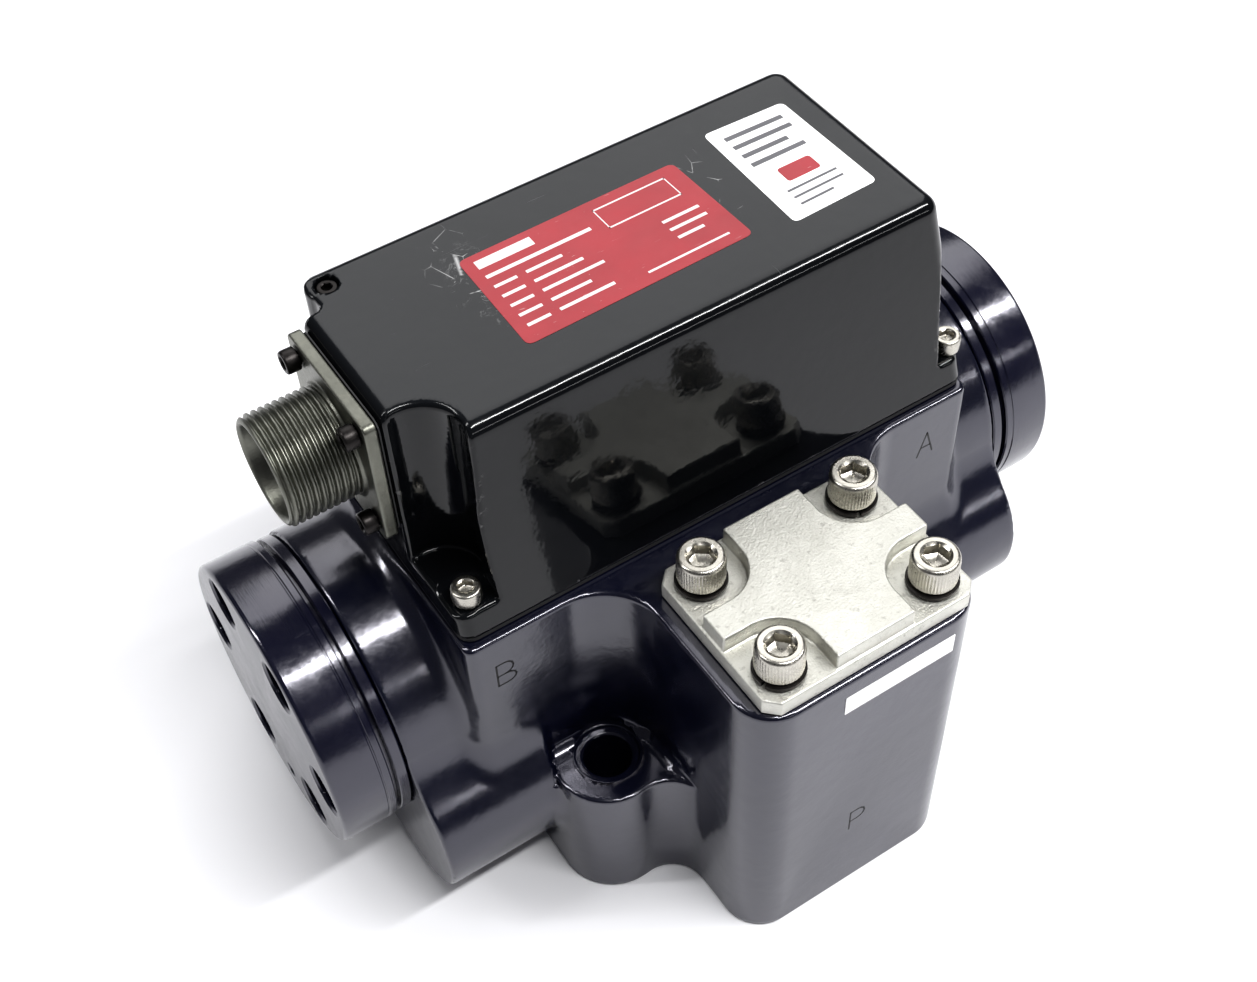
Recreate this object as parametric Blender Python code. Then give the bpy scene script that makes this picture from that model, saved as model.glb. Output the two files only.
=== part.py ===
# Two-stage electro-hydraulic servo valve (flapper-nozzle pilot, sliding main spool).
# Units are metres in the scene; the driving dimensions below are in millimetres.
# Frame: origin at the centre of the port face, +X along the spool, +Y to the back
# (the pilot filter block is on the -Y side), +Z up.
import math

import bmesh
import bpy
from mathutils import Matrix, Vector

MM = 0.001

# ---------------------------------------------------------------- driving dimensions (mm)
SPOOL_Z = 47.2          # height of the spool axis above the port face
BODY_HALF_X = 75.5      # half length of the body barrel
BARREL_R = 32.0
BODY_TOP = 81.0
PANEL_HALF_X = 60.7
PANEL_HALF_Y = 35.2
LOBE_Y, LOBE_Z, LOBE_R = 23.5, 26.4, 20.3

BLOCK_X0, BLOCK_X1 = -26.0, 28.0     # filter block sides
BLOCK_Y = -80.3                      # filter block front
BLOCK_R = 9.0
BLOCK_FILLET = 13.0

EAR_X, EAR_Y = 36.5, 42.86           # mounting bolt pattern 73.03 x 85.73
EAR_R, EAR_TOP = 12.0, 35.8
EAR_HOLE_R = 5.15
WEB_R = 8.0             # blend between a front ear and the filter block
EAR_SPOT_R = 6.8

CAP_X0, CAP_X1 = 75.8, 91.5
CAP_BOLT_R, CAP_BOLT_PHASE = 24.6, 0.0

COVER_Z0, COVER_Z1 = 82.5, 128.0
COVER_PAD_Z = 88.4
COVER_CX = 1.4          # the cover screws are centred a little off the body
COVER_SCREW_X, COVER_SCREW_Y = 57.2, 28.7

FILTER_CX, FILTER_CY = 1.4, -60.4
FILTER_BOLT_X, FILTER_BOLT_Y = 17.8, 12.3

PLUG_X, PLUG_Y = -52.5, 21.2

CONN_Y, CONN_Z = 0.0, 111.9          # connector axis
FLANGE_HALF = 15.1
CONN_BOLT = 11.5
CONN_X = -60.5

PORT_CIRCLE = 50.8 / 2
PORT_R = 7.9

SLEEVE_R, BORE_R = 12.2, 12.5
LAND_R, SLEEVE_BORE_R = 7.90, 7.95
SPOOL_HALF = 44.0

PIVOT_Z = 102.0         # flexure pivot of the armature
WIRE_TOP_Z = 86.0       # where the feedback wire leaves the flapper
GAP = 0.3


# ---------------------------------------------------------------- helpers
def clear_scene():
    for ob in list(bpy.data.objects):
        bpy.data.objects.remove(ob, do_unlink=True)


def material(name, rgb, rough, metal):
    m = bpy.data.materials.new(name)
    m.use_nodes = True
    b = m.node_tree.nodes.get("Principled BSDF")
    b.inputs["Base Color"].default_value = (rgb[0], rgb[1], rgb[2], 1.0)
    b.inputs["Roughness"].default_value = rough
    b.inputs["Metallic"].default_value = metal
    return m


def make(name, bm, mat=None, smooth=True):
    bmesh.ops.recalc_face_normals(bm, faces=bm.faces)
    me = bpy.data.meshes.new(name)
    bm.to_mesh(me)
    bm.free()
    if smooth:
        me.shade_smooth()
        me.set_sharp_from_angle(angle=math.radians(32))
    ob = bpy.data.objects.new(name, me)
    bpy.context.collection.objects.link(ob)
    if mat is not None:
        me.materials.append(mat)
    return ob


def is_closed(me):
    use = {}
    for p in me.polygons:
        for k in p.edge_keys:
            use[k] = use.get(k, 0) + 1
    return all(n == 2 for n in use.values())


def bool_op(ob, others, op="DIFFERENCE"):
    """Apply a run of Booleans to ob and drop the tool objects. EXACT is used; where it leaves
    an open edge the same cut is made with MANIFOLD."""
    for other in others:
        other.hide_render = True
        other.display_type = "WIRE"
        for solver in ("EXACT", "MANIFOLD"):
            mod = ob.modifiers.new("b", "BOOLEAN")
            mod.operation = op
            mod.solver = solver
            mod.object = other
            dg = bpy.context.evaluated_depsgraph_get()
            me = bpy.data.meshes.new_from_object(ob.evaluated_get(dg))
            ob.modifiers.clear()
            if is_closed(me):
                break
            if solver == "EXACT":
                bpy.data.meshes.remove(me)
        old = ob.data
        ob.data = me
        bpy.data.meshes.remove(old)
        bpy.data.objects.remove(other, do_unlink=True)
    return ob


def finish(ob, mat):
    me = ob.data
    me.name = ob.name
    me.materials.clear()
    me.materials.append(mat)
    me.shade_smooth()
    me.set_sharp_from_angle(angle=math.radians(32))
    return ob


AX = {
    "z": Matrix.Identity(4),
    "x": Matrix.Rotation(math.radians(90), 4, "Y"),    # local +Z goes to +X
    "y": Matrix.Rotation(math.radians(-90), 4, "X"),   # local +Z goes to +Y
}


def turned(name, profile, segs, centre, axis="z", mat=None, phase=0.0):
    """Solid of revolution. profile is a closed run of (radius, height) in mm along the axis;
    a radius of 0 closes the piece on its axis."""
    bm = bmesh.new()
    rings = []
    for r, h in profile:
        if r < 1e-6:
            rings.append([bm.verts.new((0, 0, h * MM))])
        else:
            rings.append([bm.verts.new((r * MM * math.cos(phase + 2 * math.pi * i / segs),
                                        r * MM * math.sin(phase + 2 * math.pi * i / segs),
                                        h * MM)) for i in range(segs)])
    n = len(rings)
    on_axis = profile[0][0] < 1e-6 or profile[-1][0] < 1e-6
    for k in range(n - 1 if on_axis else n):
        a, b = rings[k], rings[(k + 1) % n]
        for i in range(segs):
            j = (i + 1) % segs
            if len(a) == 1 and len(b) == 1:
                continue
            if len(a) == 1:
                bm.faces.new((a[0], b[j], b[i]))
            elif len(b) == 1:
                bm.faces.new((a[i], a[j], b[0]))
            else:
                bm.faces.new((a[i], a[j], b[j], b[i]))
    ob = make(name, bm, mat)
    ob.data.transform(AX[axis])
    ob.location = Vector(centre) * MM
    return ob


def cyl(name, r, h0, h1, segs, centre, axis="z", mat=None, phase=0.0371):
    return turned(name, [(0, h0), (r, h0), (r, h1), (0, h1)], segs, centre, axis, mat, phase)


def arc(cx, cy, r, a0, a1, n):
    """Points on an arc, angles in degrees."""
    return [(cx + r * math.cos(math.radians(a0 + (a1 - a0) * i / n)),
             cy + r * math.sin(math.radians(a0 + (a1 - a0) * i / n))) for i in range(n + 1)]


def rounded(points, radii, n=6):
    """Polygon with its corners rounded."""
    out = []
    m = len(points)
    for i, p in enumerate(points):
        r = radii[i] if isinstance(radii, (list, tuple)) else radii
        p = Vector(p)
        a = (Vector(points[i - 1]) - p)
        b = (Vector(points[(i + 1) % m]) - p)
        if r <= 0:
            out.append((p.x, p.y))
            continue
        au, bu = a.normalized(), b.normalized()
        half = au.angle(bu) / 2
        d = r / math.tan(half)
        c = p + (au + bu).normalized() * (r / math.sin(half))
        s, e = p + au * d - c, p + bu * d - c
        a0 = math.atan2(s.y, s.x)
        a1 = math.atan2(e.y, e.x)
        while a1 - a0 > math.pi:
            a1 -= 2 * math.pi
        while a1 - a0 < -math.pi:
            a1 += 2 * math.pi
        for k in range(n + 1):
            t = a0 + (a1 - a0) * k / n
            out.append((c.x + r * math.cos(t), c.y + r * math.sin(t)))
    return out


def prism(name, outline, h0, h1, axis="z", mat=None, centre=(0, 0, 0)):
    """Extruded outline. For axis x the outline is (y, z), for y it is (x, z)."""
    def place(u, v, h):
        if axis == "z":
            return (u * MM, v * MM, h * MM)
        if axis == "x":
            return (h * MM, u * MM, v * MM)
        return (u * MM, h * MM, v * MM)
    bm = bmesh.new()
    lo = [bm.verts.new(place(u, v, h0)) for u, v in outline]
    hi = [bm.verts.new(place(u, v, h1)) for u, v in outline]
    bm.faces.new(lo)
    bm.faces.new(hi)
    m = len(outline)
    for i in range(m):
        bm.faces.new((lo[i], lo[(i + 1) % m], hi[(i + 1) % m], hi[i]))
    ob = make(name, bm, mat)
    ob.location = Vector(centre) * MM
    return ob


def loft(name, lower, upper, h0, h1, mat=None):
    """Tapered prism between two outlines with the same number of points."""
    bm = bmesh.new()
    lo = [bm.verts.new((u * MM, v * MM, h0 * MM)) for u, v in lower]
    hi = [bm.verts.new((u * MM, v * MM, h1 * MM)) for u, v in upper]
    bm.faces.new(lo)
    bm.faces.new(hi)
    m = len(lower)
    for i in range(m):
        bm.faces.new((lo[i], lo[(i + 1) % m], hi[(i + 1) % m], hi[i]))
    return make(name, bm, mat)


def box(name, lo, hi, mat=None):
    return prism(name, [(lo[0], lo[1]), (hi[0], lo[1]), (hi[0], hi[1]), (lo[0], hi[1])],
                 lo[2], hi[2], "z", mat)


def hexagon(across, phase=0.0):
    r = across / 2 / math.cos(math.pi / 6)
    return [(r * math.cos(phase + math.pi / 3 * i), r * math.sin(phase + math.pi / 3 * i))
            for i in range(6)]


def socket_screw(name, head_r, head_h, shank_r, shank_l, hexa, centre, axis="z", flip=False,
                 mat=None, chamfer=0.35, segs=32):
    """Socket head cap screw; the underside of the head is at the centre, the head points
    along the axis (or against it when flip is set)."""
    c = chamfer
    prof = [(0, -shank_l), (shank_r, -shank_l), (shank_r, 0), (head_r, 0),
            (head_r, head_h - c), (head_r - c, head_h), (0, head_h)]
    ob = turned(name, prof, segs, (0, 0, 0))
    depth = head_h * 0.55
    cut = prism("cut", hexagon(hexa), head_h - depth, head_h + 1)
    bool_op(ob, [cut])
    m = AX[axis].copy()
    if flip:
        m = m @ Matrix.Rotation(math.pi, 4, "X")
    ob.data.transform(m)
    ob.location = Vector(centre) * MM
    return finish(ob, mat)


# ---------------------------------------------------------------- materials
clear_scene()
M_BODY = material("black_anodised", (0.022, 0.018, 0.030), 0.28, 0.75)
M_CAP = material("black_anodised_turned", (0.024, 0.019, 0.034), 0.22, 0.8)
M_COVER = material("black_gloss_paint", (0.018, 0.020, 0.021), 0.16, 0.0)
M_PLATE = material("blasted_stainless", (0.52, 0.50, 0.45), 0.42, 1.0)
M_STEEL = material("stainless_screw", (0.60, 0.58, 0.54), 0.26, 1.0)
M_DARK = material("dark_screw", (0.13, 0.12, 0.11), 0.36, 1.0)
M_CONN = material("olive_grey_connector", (0.25, 0.235, 0.20), 0.36, 1.0)
M_INSERT = material("insert_plastic", (0.035, 0.032, 0.03), 0.5, 0.0)
M_RUBBER = material("seal_rubber", (0.02, 0.02, 0.021), 0.6, 0.0)
M_HARD = material("hardened_steel", (0.55, 0.55, 0.56), 0.2, 1.0)
M_POLE = material("pole_piece_iron", (0.35, 0.36, 0.37), 0.35, 1.0)
M_MAGNET = material("magnet_dark", (0.12, 0.12, 0.13), 0.4, 0.8)
M_COIL = material("coil_winding", (0.45, 0.16, 0.05), 0.45, 0.3)
M_FILTER = material("sintered_filter", (0.42, 0.33, 0.2), 0.65, 0.6)
M_ALLOY = material("pilot_alloy", (0.5, 0.5, 0.5), 0.3, 1.0)


# ---------------------------------------------------------------- body
def block_outline(x0, x1, grow=0.0):
    """Plan of the filter block with its concave blends into the panel."""
    f = BLOCK_FILLET
    pts = []
    pts += [(x0 - f - 0.2, -25.0)]
    pts += arc(x0 - f, -PANEL_HALF_Y - f, f, 90, 0, 8)
    pts += arc(x0 + BLOCK_R, BLOCK_Y + BLOCK_R, BLOCK_R, 180, 270, 8)
    pts += arc(x1 - BLOCK_R, BLOCK_Y + BLOCK_R, BLOCK_R, 270, 360, 8)
    pts += arc(x1 + f, -PANEL_HALF_Y - f, f, 180, 90, 8)
    pts += [(x1 + f + 0.2, -25.0)]
    return pts


def barrel_outline():
    """Section of the body (y, z): the barrel on two round foot lobes."""
    d = math.hypot(LOBE_Y, SPOOL_Z - LOBE_Z)
    along = (d * d + LOBE_R ** 2 - BARREL_R ** 2) / (2 * d)
    off = math.sqrt(LOBE_R ** 2 - along ** 2)
    ux, uz = -LOBE_Y / d, (SPOOL_Z - LOBE_Z) / d
    # outer crossing of the two circles
    iy = LOBE_Y + ux * along + uz * off
    iz = LOBE_Z + uz * along - ux * off
    a_l = math.degrees(math.atan2(iz - LOBE_Z, iy - LOBE_Y))
    a_b = math.degrees(math.atan2(iz - SPOOL_Z, iy))
    right = arc(LOBE_Y, LOBE_Z, LOBE_R, -90, a_l, 12)
    top = arc(0, SPOOL_Z, BARREL_R, a_b, 180 - a_b, 32)
    left = [(-y, z) for y, z in reversed(right)]
    return right + top[1:-1] + left


def build_body():
    body = prism("valve_body", barrel_outline(), -BODY_HALF_X, BODY_HALF_X, "x")
    adds = []
    col = rounded([(-PANEL_HALF_X, -PANEL_HALF_Y), (PANEL_HALF_X, -PANEL_HALF_Y),
                   (PANEL_HALF_X, PANEL_HALF_Y), (-PANEL_HALF_X, PANEL_HALF_Y)], 2.2, 3)
    adds.append(prism("column", col, 34.0, BODY_TOP))
    base = rounded([(-48.4, -38.0), (48.4, -38.0), (48.4, 38.0), (-48.4, 38.0)], 2.0, 3)
    adds.append(prism("base", base, 0.0, EAR_TOP - 0.05))
    adds.append(prism("block", block_outline(BLOCK_X0, BLOCK_X1), 0.0, BODY_TOP - 0.02))
    for sx in (-1, 1):
        for sy in (-1, 1):
            # ear: round boss with a straight outer side, blended into the filter block in front
            outer = arc(EAR_X, -EAR_Y, EAR_R, 0, -90, 8)
            if sy < 0:
                side = BLOCK_X1 if sx > 0 else -BLOCK_X0
                r = WEB_R
                dx = EAR_X - (side + r)
                dy = math.sqrt((EAR_R + r) ** 2 - dx * dx)
                fx, fy = side + r, -EAR_Y - dy
                a0 = math.degrees(math.atan2(dy, dx))
                inner = arc(fx, fy, r, a0, 180, 8)
                tail = [(side - 3.0, fy), (side - 3.0, -28.0)]
                outer = arc(EAR_X, -EAR_Y, EAR_R, 0, a0 - 180, 10)
            else:
                inner = []
                tail = [(EAR_X - EAR_R, -EAR_Y), (EAR_X - EAR_R, -28.0)]
                outer = arc(EAR_X, -EAR_Y, EAR_R, 0, -172, 12)
            out = [(EAR_X + EAR_R, -28.0)] + outer + inner[1:] + tail
            out = [(sx * u, -sy * v) for u, v in out]
            adds.append(prism("ear", out, 0.01, EAR_TOP + 0.6))
    bool_op(body, adds, "UNION")

    cuts = []
    for sx in (-1, 1):
        for sy in (-1, 1):
            c = (sx * EAR_X, sy * EAR_Y, 0)
            # wrench clearance above the ear, spot face and bolt hole
            cuts.append(cyl("clear", 11.6, EAR_TOP, EAR_TOP + 6.0, 26, c))
            cuts.append(cyl("spot", EAR_SPOT_R, EAR_TOP - 1.0, EAR_TOP + 1.0, 20, c))
            cuts.append(cyl("hole", EAR_HOLE_R, -2, EAR_TOP + 2, 16, c))
    # spool bore and cap spigot counterbores
    cuts.append(cyl("bore", BORE_R, -BODY_HALF_X - 2, BODY_HALF_X + 2, 36, (0, 0, SPOOL_Z), "x"))
    for s in (-1, 1):
        lo, hi = sorted((s * (BODY_HALF_X - 7.3), s * (BODY_HALF_X + 2)))
        cuts.append(cyl("cbore", 19.3, lo, hi, 36, (0, 0, SPOOL_Z), "x"))
        for k in range(6):
            a = math.radians(CAP_BOLT_PHASE + 60 * k)
            c = (0, CAP_BOLT_R * math.cos(a), SPOOL_Z + CAP_BOLT_R * math.sin(a))
            lo, hi = sorted((s * (BODY_HALF_X - 12.5), s * (BODY_HALF_X + 2)))
            cuts.append(cyl("tap", 2.95, lo, hi, 8, c, "x"))
    # ports in the base, with O-ring recesses
    for x, y in ((PORT_CIRCLE, 0), (-PORT_CIRCLE, 0), (0, PORT_CIRCLE), (0, -PORT_CIRCLE)):
        cuts.append(cyl("port", PORT_R, -2, SPOOL_Z - 8.0 if abs(y) < 1 else 20.0, 16, (x, y, 0)))
        cuts.append(cyl("recess", 10.6, -2, 1.9, 20, (x, y, 0)))
    # pilot chamber from the top down to the spool
    cuts.append(prism("chamber", rounded([(-6.0, -4.2), (6.0, -4.2), (6.0, 4.2), (-6.0, 4.2)], 4.0, 5),
                      SPOOL_Z, BODY_TOP + 1))
    # filter bore and drilling to the pilot
    cuts.append(cyl("filter_bore", 11.0, 14.0, BODY_TOP + 1, 28, (FILTER_CX, FILTER_CY, 0)))
    for sx in (-1, 1):
        for sy in (-1, 1):
            c = (FILTER_CX + sx * FILTER_BOLT_X, FILTER_CY + sy * FILTER_BOLT_Y, 0)
            cuts.append(cyl("ftap", 3.4, 62.0, BODY_TOP + 1, 12, c))
            c = (COVER_CX + sx * COVER_SCREW_X, sy * COVER_SCREW_Y, 0)
            cuts.append(cyl("ctap", 2.0, 70.0, BODY_TOP + 1, 10, c))
    for sx in (-1, 1):
        # fixing holes of the pilot stage
        cuts.append(cyl("ptap", 2.0, 72.0, BODY_TOP + 1, 10, (sx * 17.0, 0, 0)))
    bool_op(body, cuts)
    return finish(body, M_BODY)


# ---------------------------------------------------------------- end caps
def build_cap(side):
    s = -1 if side == "left" else 1
    x0, x1 = CAP_X0, CAP_X1
    prof = [(0, x0 - 6.4), (18.6, x0 - 6.4), (18.6, x0 - 4.6), (16.6, x0 - 4.6), (16.6, x0 - 1.9),
            (18.6, x0 - 1.9), (18.6, x0), (31.7, x0), (31.7, x0 + 2.4), (29.8, x0 + 2.4),
            (29.8, x0 + 3.5), (32.0, x0 + 3.5), (32.0, x1 - 1.0), (31.0, x1), (0, x1)]
    cap = turned("end_cap_" + side, prof, 40, (0, 0, 0))
    cuts = []
    for k in range(6):
        a = math.radians(CAP_BOLT_PHASE + 60 * k)
        c = (CAP_BOLT_R * math.cos(a), CAP_BOLT_R * math.sin(a), 0)
        cuts.append(cyl("h", 3.2, x0 - 8, x1 + 1, 12, c, phase=0.11))
        cuts.append(cyl("cb", 5.4, x1 - 8.2, x1 + 1, 16, c, phase=0.07))
    # jack-screw hole
    a = math.radians(-90.0)
    cuts.append(cyl("j", 1.6, x1 - 5.0, x1 + 1, 10, (25.2 * math.cos(a), 25.2 * math.sin(a), 0), phase=0.09))
    bool_op(cap, cuts)
    # turned axis goes to +-X; local x -> y, local y -> z keeps the bolt pattern of the body
    m = Matrix(((0, 0, s, 0), (1, 0, 0, 0), (0, 1, 0, 0), (0, 0, 0, 1)))
    cap.data.transform(m)
    if m.determinant() < 0:
        cap.data.flip_normals()
    cap.location = Vector((0, 0, SPOOL_Z)) * MM
    finish(cap, M_CAP)

    ring = turned("cap_oring_" + side, torus_profile(17.75, 0.95, 5), 24, (0, 0, 0))
    ring.data.transform(m)
    if m.determinant() < 0:
        ring.data.flip_normals()
    ring.location = Vector((s * (x0 - 3.25), 0, SPOOL_Z)) * MM
    finish(ring, M_RUBBER)

    for k in range(6):
        a = math.radians(CAP_BOLT_PHASE + 60 * k)
        socket_screw("cap_screw_%s_%d" % (side, k + 1), 4.75, 6.0, 2.6, 17.0, 4.8,
                     (s * (x1 - 8.2 + GAP), CAP_BOLT_R * math.cos(a),
                      SPOOL_Z + CAP_BOLT_R * math.sin(a)), "x", s < 0, M_DARK, segs=12)
    return cap


def torus_profile(r_mid, r_tube, n):
    """Closed ring section for turned()."""
    return [(r_mid + r_tube * math.cos(2 * math.pi * i / n),
             r_tube * math.sin(2 * math.pi * i / n)) for i in range(n)]


# ---------------------------------------------------------------- sleeve and spool
def build_sleeve():
    prof = []
    # outside with four port grooves, then back along the bore
    L = 55.0
    prof.append((SLEEVE_R, -L))
    for gx in (-33.0, -11.5, 11.5, 33.0):
        prof += [(SLEEVE_R, gx - 4.2), (SLEEVE_R - 2.0, gx - 4.2),
                 (SLEEVE_R - 2.0, gx + 4.2), (SLEEVE_R, gx + 4.2)]
    prof.append((SLEEVE_R, L))
    prof += [(SLEEVE_BORE_R, L), (SLEEVE_BORE_R, -L)]
    sl = turned("bushing_sleeve", prof, 28, (0, 0, 0))
    cuts = []
    for gx in (-33.0, -11.5, 11.5, 33.0):
        cuts.append(box("w", (gx - 2.5, -3.0, -20.0), (gx + 2.5, 3.0, 20.0)))
    # window for the feedback wire
    cuts.append(prism("wire", rounded([(-4.5, -3.4), (4.5, -3.4), (4.5, 3.4), (-4.5, 3.4)], 3.0, 2), 0, 20))
    sl.data.transform(AX["x"])
    bool_op(sl, cuts)
    sl.location = Vector((0, 0, SPOOL_Z)) * MM
    return finish(sl, M_HARD)


def build_spool():
    H = SPOOL_HALF
    r, n = LAND_R, 5.0
    prof = [(0, -H), (r - 0.4, -H), (r, -H + 0.4), (r, -27.5), (n, -27.0), (n, -17.0), (r, -16.5),
            (r, -5.6), (n, -5.2), (n, -2.2), (r, -1.9), (r, -1.3), (4.0, -1.3), (4.0, 1.3), (r, 1.3), (r, 1.9), (n, 2.2), (n, 5.2), (r, 5.6),
            (r, 16.5), (n, 17.0), (n, 27.0), (r, 27.5), (r, H - 0.4), (r - 0.4, H), (0, H)]
    sp = turned("spool", prof, 28, (0, 0, 0))
    sp.data.transform(AX["x"])
    sp.location = Vector((0, 0, SPOOL_Z)) * MM
    return finish(sp, M_HARD)


# ---------------------------------------------------------------- pilot stage (torque motor)
def build_pilot():
    out = {}
    # base casting of the pilot stage with the nozzle bores and flexure seat
    base = prism("pilot_base", rounded([(-22.0, -13.0), (22.0, -13.0), (22.0, 13.0), (-22.0, 13.0)], 3.0, 4),
                 BODY_TOP + GAP, 91.5)
    cuts = [cyl("c", 5.4, 70, 95, 20, (0, 0, 0)),
            cyl("n", 2.3, -23, 23, 16, (0, 0, 88.6), "x")]
    for s in (-1, 1):
        cuts.append(cyl("s", 2.2, 70, 95, 16, (s * 17.0, 0, 0)))
    bool_op(base, cuts)
    out["pilot_base"] = finish(base, M_ALLOY)

    # nozzles either side of the flapper
    for s, nm in ((-1, "left"), (1, "right")):
        prof = [(0, 0.0), (0.8, 0.0), (2.0, 1.6), (2.0, 15.0), (0, 15.0)]
        nz = turned("nozzle_" + nm, [(0.25, 0.0), (0.8, 0.0), (2.0, 1.6), (2.0, 15.0), (0.25, 15.0)], 14, (0, 0, 0))
        nz.data.transform(AX["x"])
        if s < 0:
            nz.data.transform(Matrix.Rotation(math.pi, 4, "Z"))
        nz.location = Vector((s * 1.75, 0, 88.6)) * MM
        finish(nz, M_HARD)

    # lower pole piece: plate with two upright pole feet
    lo = prism("pole_piece_lower", rounded([(-24.0, -11.0), (24.0, -11.0), (24.0, 11.0), (-24.0, 11.0)], 2.0, 3),
               91.8, 94.8)
    feet = [box("f", (s * 17.0 - 3.0, -5.0, 94.0), (s * 17.0 + 3.0, 5.0, 100.6)) for s in (-1, 1)]
    bool_op(lo, feet, "UNION")
    bool_op(lo, [cyl("c", 6.6, 90, 97, 32, (0, 0, 0))])
    out["lower"] = finish(lo, M_POLE)
    up = prism("pole_piece_upper", rounded([(-24.0, -11.0), (24.0, -11.0), (24.0, 11.0), (-24.0, 11.0)], 2.0, 3),
               110.2, 113.2)
    feet = [box("f", (s * 17.0 - 3.0, -5.0, 103.4), (s * 17.0 + 3.0, 5.0, 111.0)) for s in (-1, 1)]
    bool_op(up, feet, "UNION")
    bool_op(up, [cyl("c", 4.0, 108, 115, 24, (0, 0, 0))])
    out["upper"] = finish(up, M_POLE)
    # magnets between the pole pieces, front and back
    for s, nm in ((-1, "front"), (1, "back")):
        y0, y1 = sorted((s * 7.0, s * 11.0))
        mg = prism("magnet_" + nm, rounded([(-24.0, y0), (24.0, y0), (24.0, y1), (-24.0, y1)], 0.8, 2),
                   94.8 + GAP, 110.2 - GAP)
        finish(mg, M_MAGNET)
    # coils round the armature arms
    for s, nm in ((-1, "left"), (1, "right")):
        c = prism("coil_" + nm, rounded([(-6.2, 95.4), (6.2, 95.4), (6.2, 108.6), (-6.2, 108.6)], 2.5, 4),
                  min(s * 4.2, s * 13.6), max(s * 4.2, s * 13.6), "x")
        hole = box("h", (-20, -4.6, PIVOT_Z - 2.0), (20, 4.6, PIVOT_Z + 2.0))
        bool_op(c, [hole])
        finish(c, M_COIL)

    # flexure tube: thin-walled tube with a flange on the pilot base
    fl = turned("flexure_tube", [(2.2, 91.8), (6.2, 91.8), (6.2, 93.3), (3.0, 93.5), (2.75, 94.2),
                                 (2.75, 99.6), (2.2, 99.6)], 20, (0, 0, 0))
    finish(fl, M_HARD)

    # armature with the flapper, one brazed piece, on the pivot axis
    arm = box("armature", (-19.6, -4.0, -1.0), (19.6, 4.0, 1.0))
    stem = turned("stem", [(0, WIRE_TOP_Z - PIVOT_Z), (1.6, WIRE_TOP_Z - PIVOT_Z), (1.6, -6.0), (1.6, 1.6),
                           (0, 1.6)], 24, (0, 0, 0))
    hub = cyl("hub", 3.2, -1.9, 2.2, 24, (0, 0, 0))
    bool_op(arm, [stem, hub], "UNION")
    pivot = bpy.data.objects.new("armature_pivot", None)
    pivot.location = Vector((0, 0, PIVOT_Z)) * MM
    bpy.context.collection.objects.link(pivot)
    finish(arm, M_POLE)
    arm.parent = pivot

    # feedback wire with its ball end in the spool groove
    root = bpy.data.objects.new("feedback_pivot", None)
    root.location = Vector((0, 0, WIRE_TOP_Z - PIVOT_Z)) * MM
    root.parent = pivot
    bpy.context.collection.objects.link(root)
    zb = SPOOL_Z + 5.6 - WIRE_TOP_Z
    prof = [(0, zb - 0.9)]
    prof += [(0.9 * math.sin(math.radians(a)), zb - 0.9 * math.cos(math.radians(a))) for a in range(30, 150, 20)]
    prof += [(0.35, zb + 1.2), (0.55, -GAP - 3.0), (0.8, -GAP), (0, -GAP)]
    w = turned("feedback_wire", prof, 16, (0, 0, 0))
    finish(w, M_HARD)
    w.parent = root
    return out


# ---------------------------------------------------------------- motor cover
def cover_outline(level):
    """Plan of the cover at a level from 0 (base) to 1 (top): left end upright, other sides drafted."""
    x0 = -60.2 - 0.3 * level
    x1 = 60.9 - 6.3 * level
    y = 33.5 - 7.6 * level
    r = 3.6
    return rounded([(x0, -y), (x1, -y), (x1, y), (x0, y)], [2.5, r, r, 2.5], 3)


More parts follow.
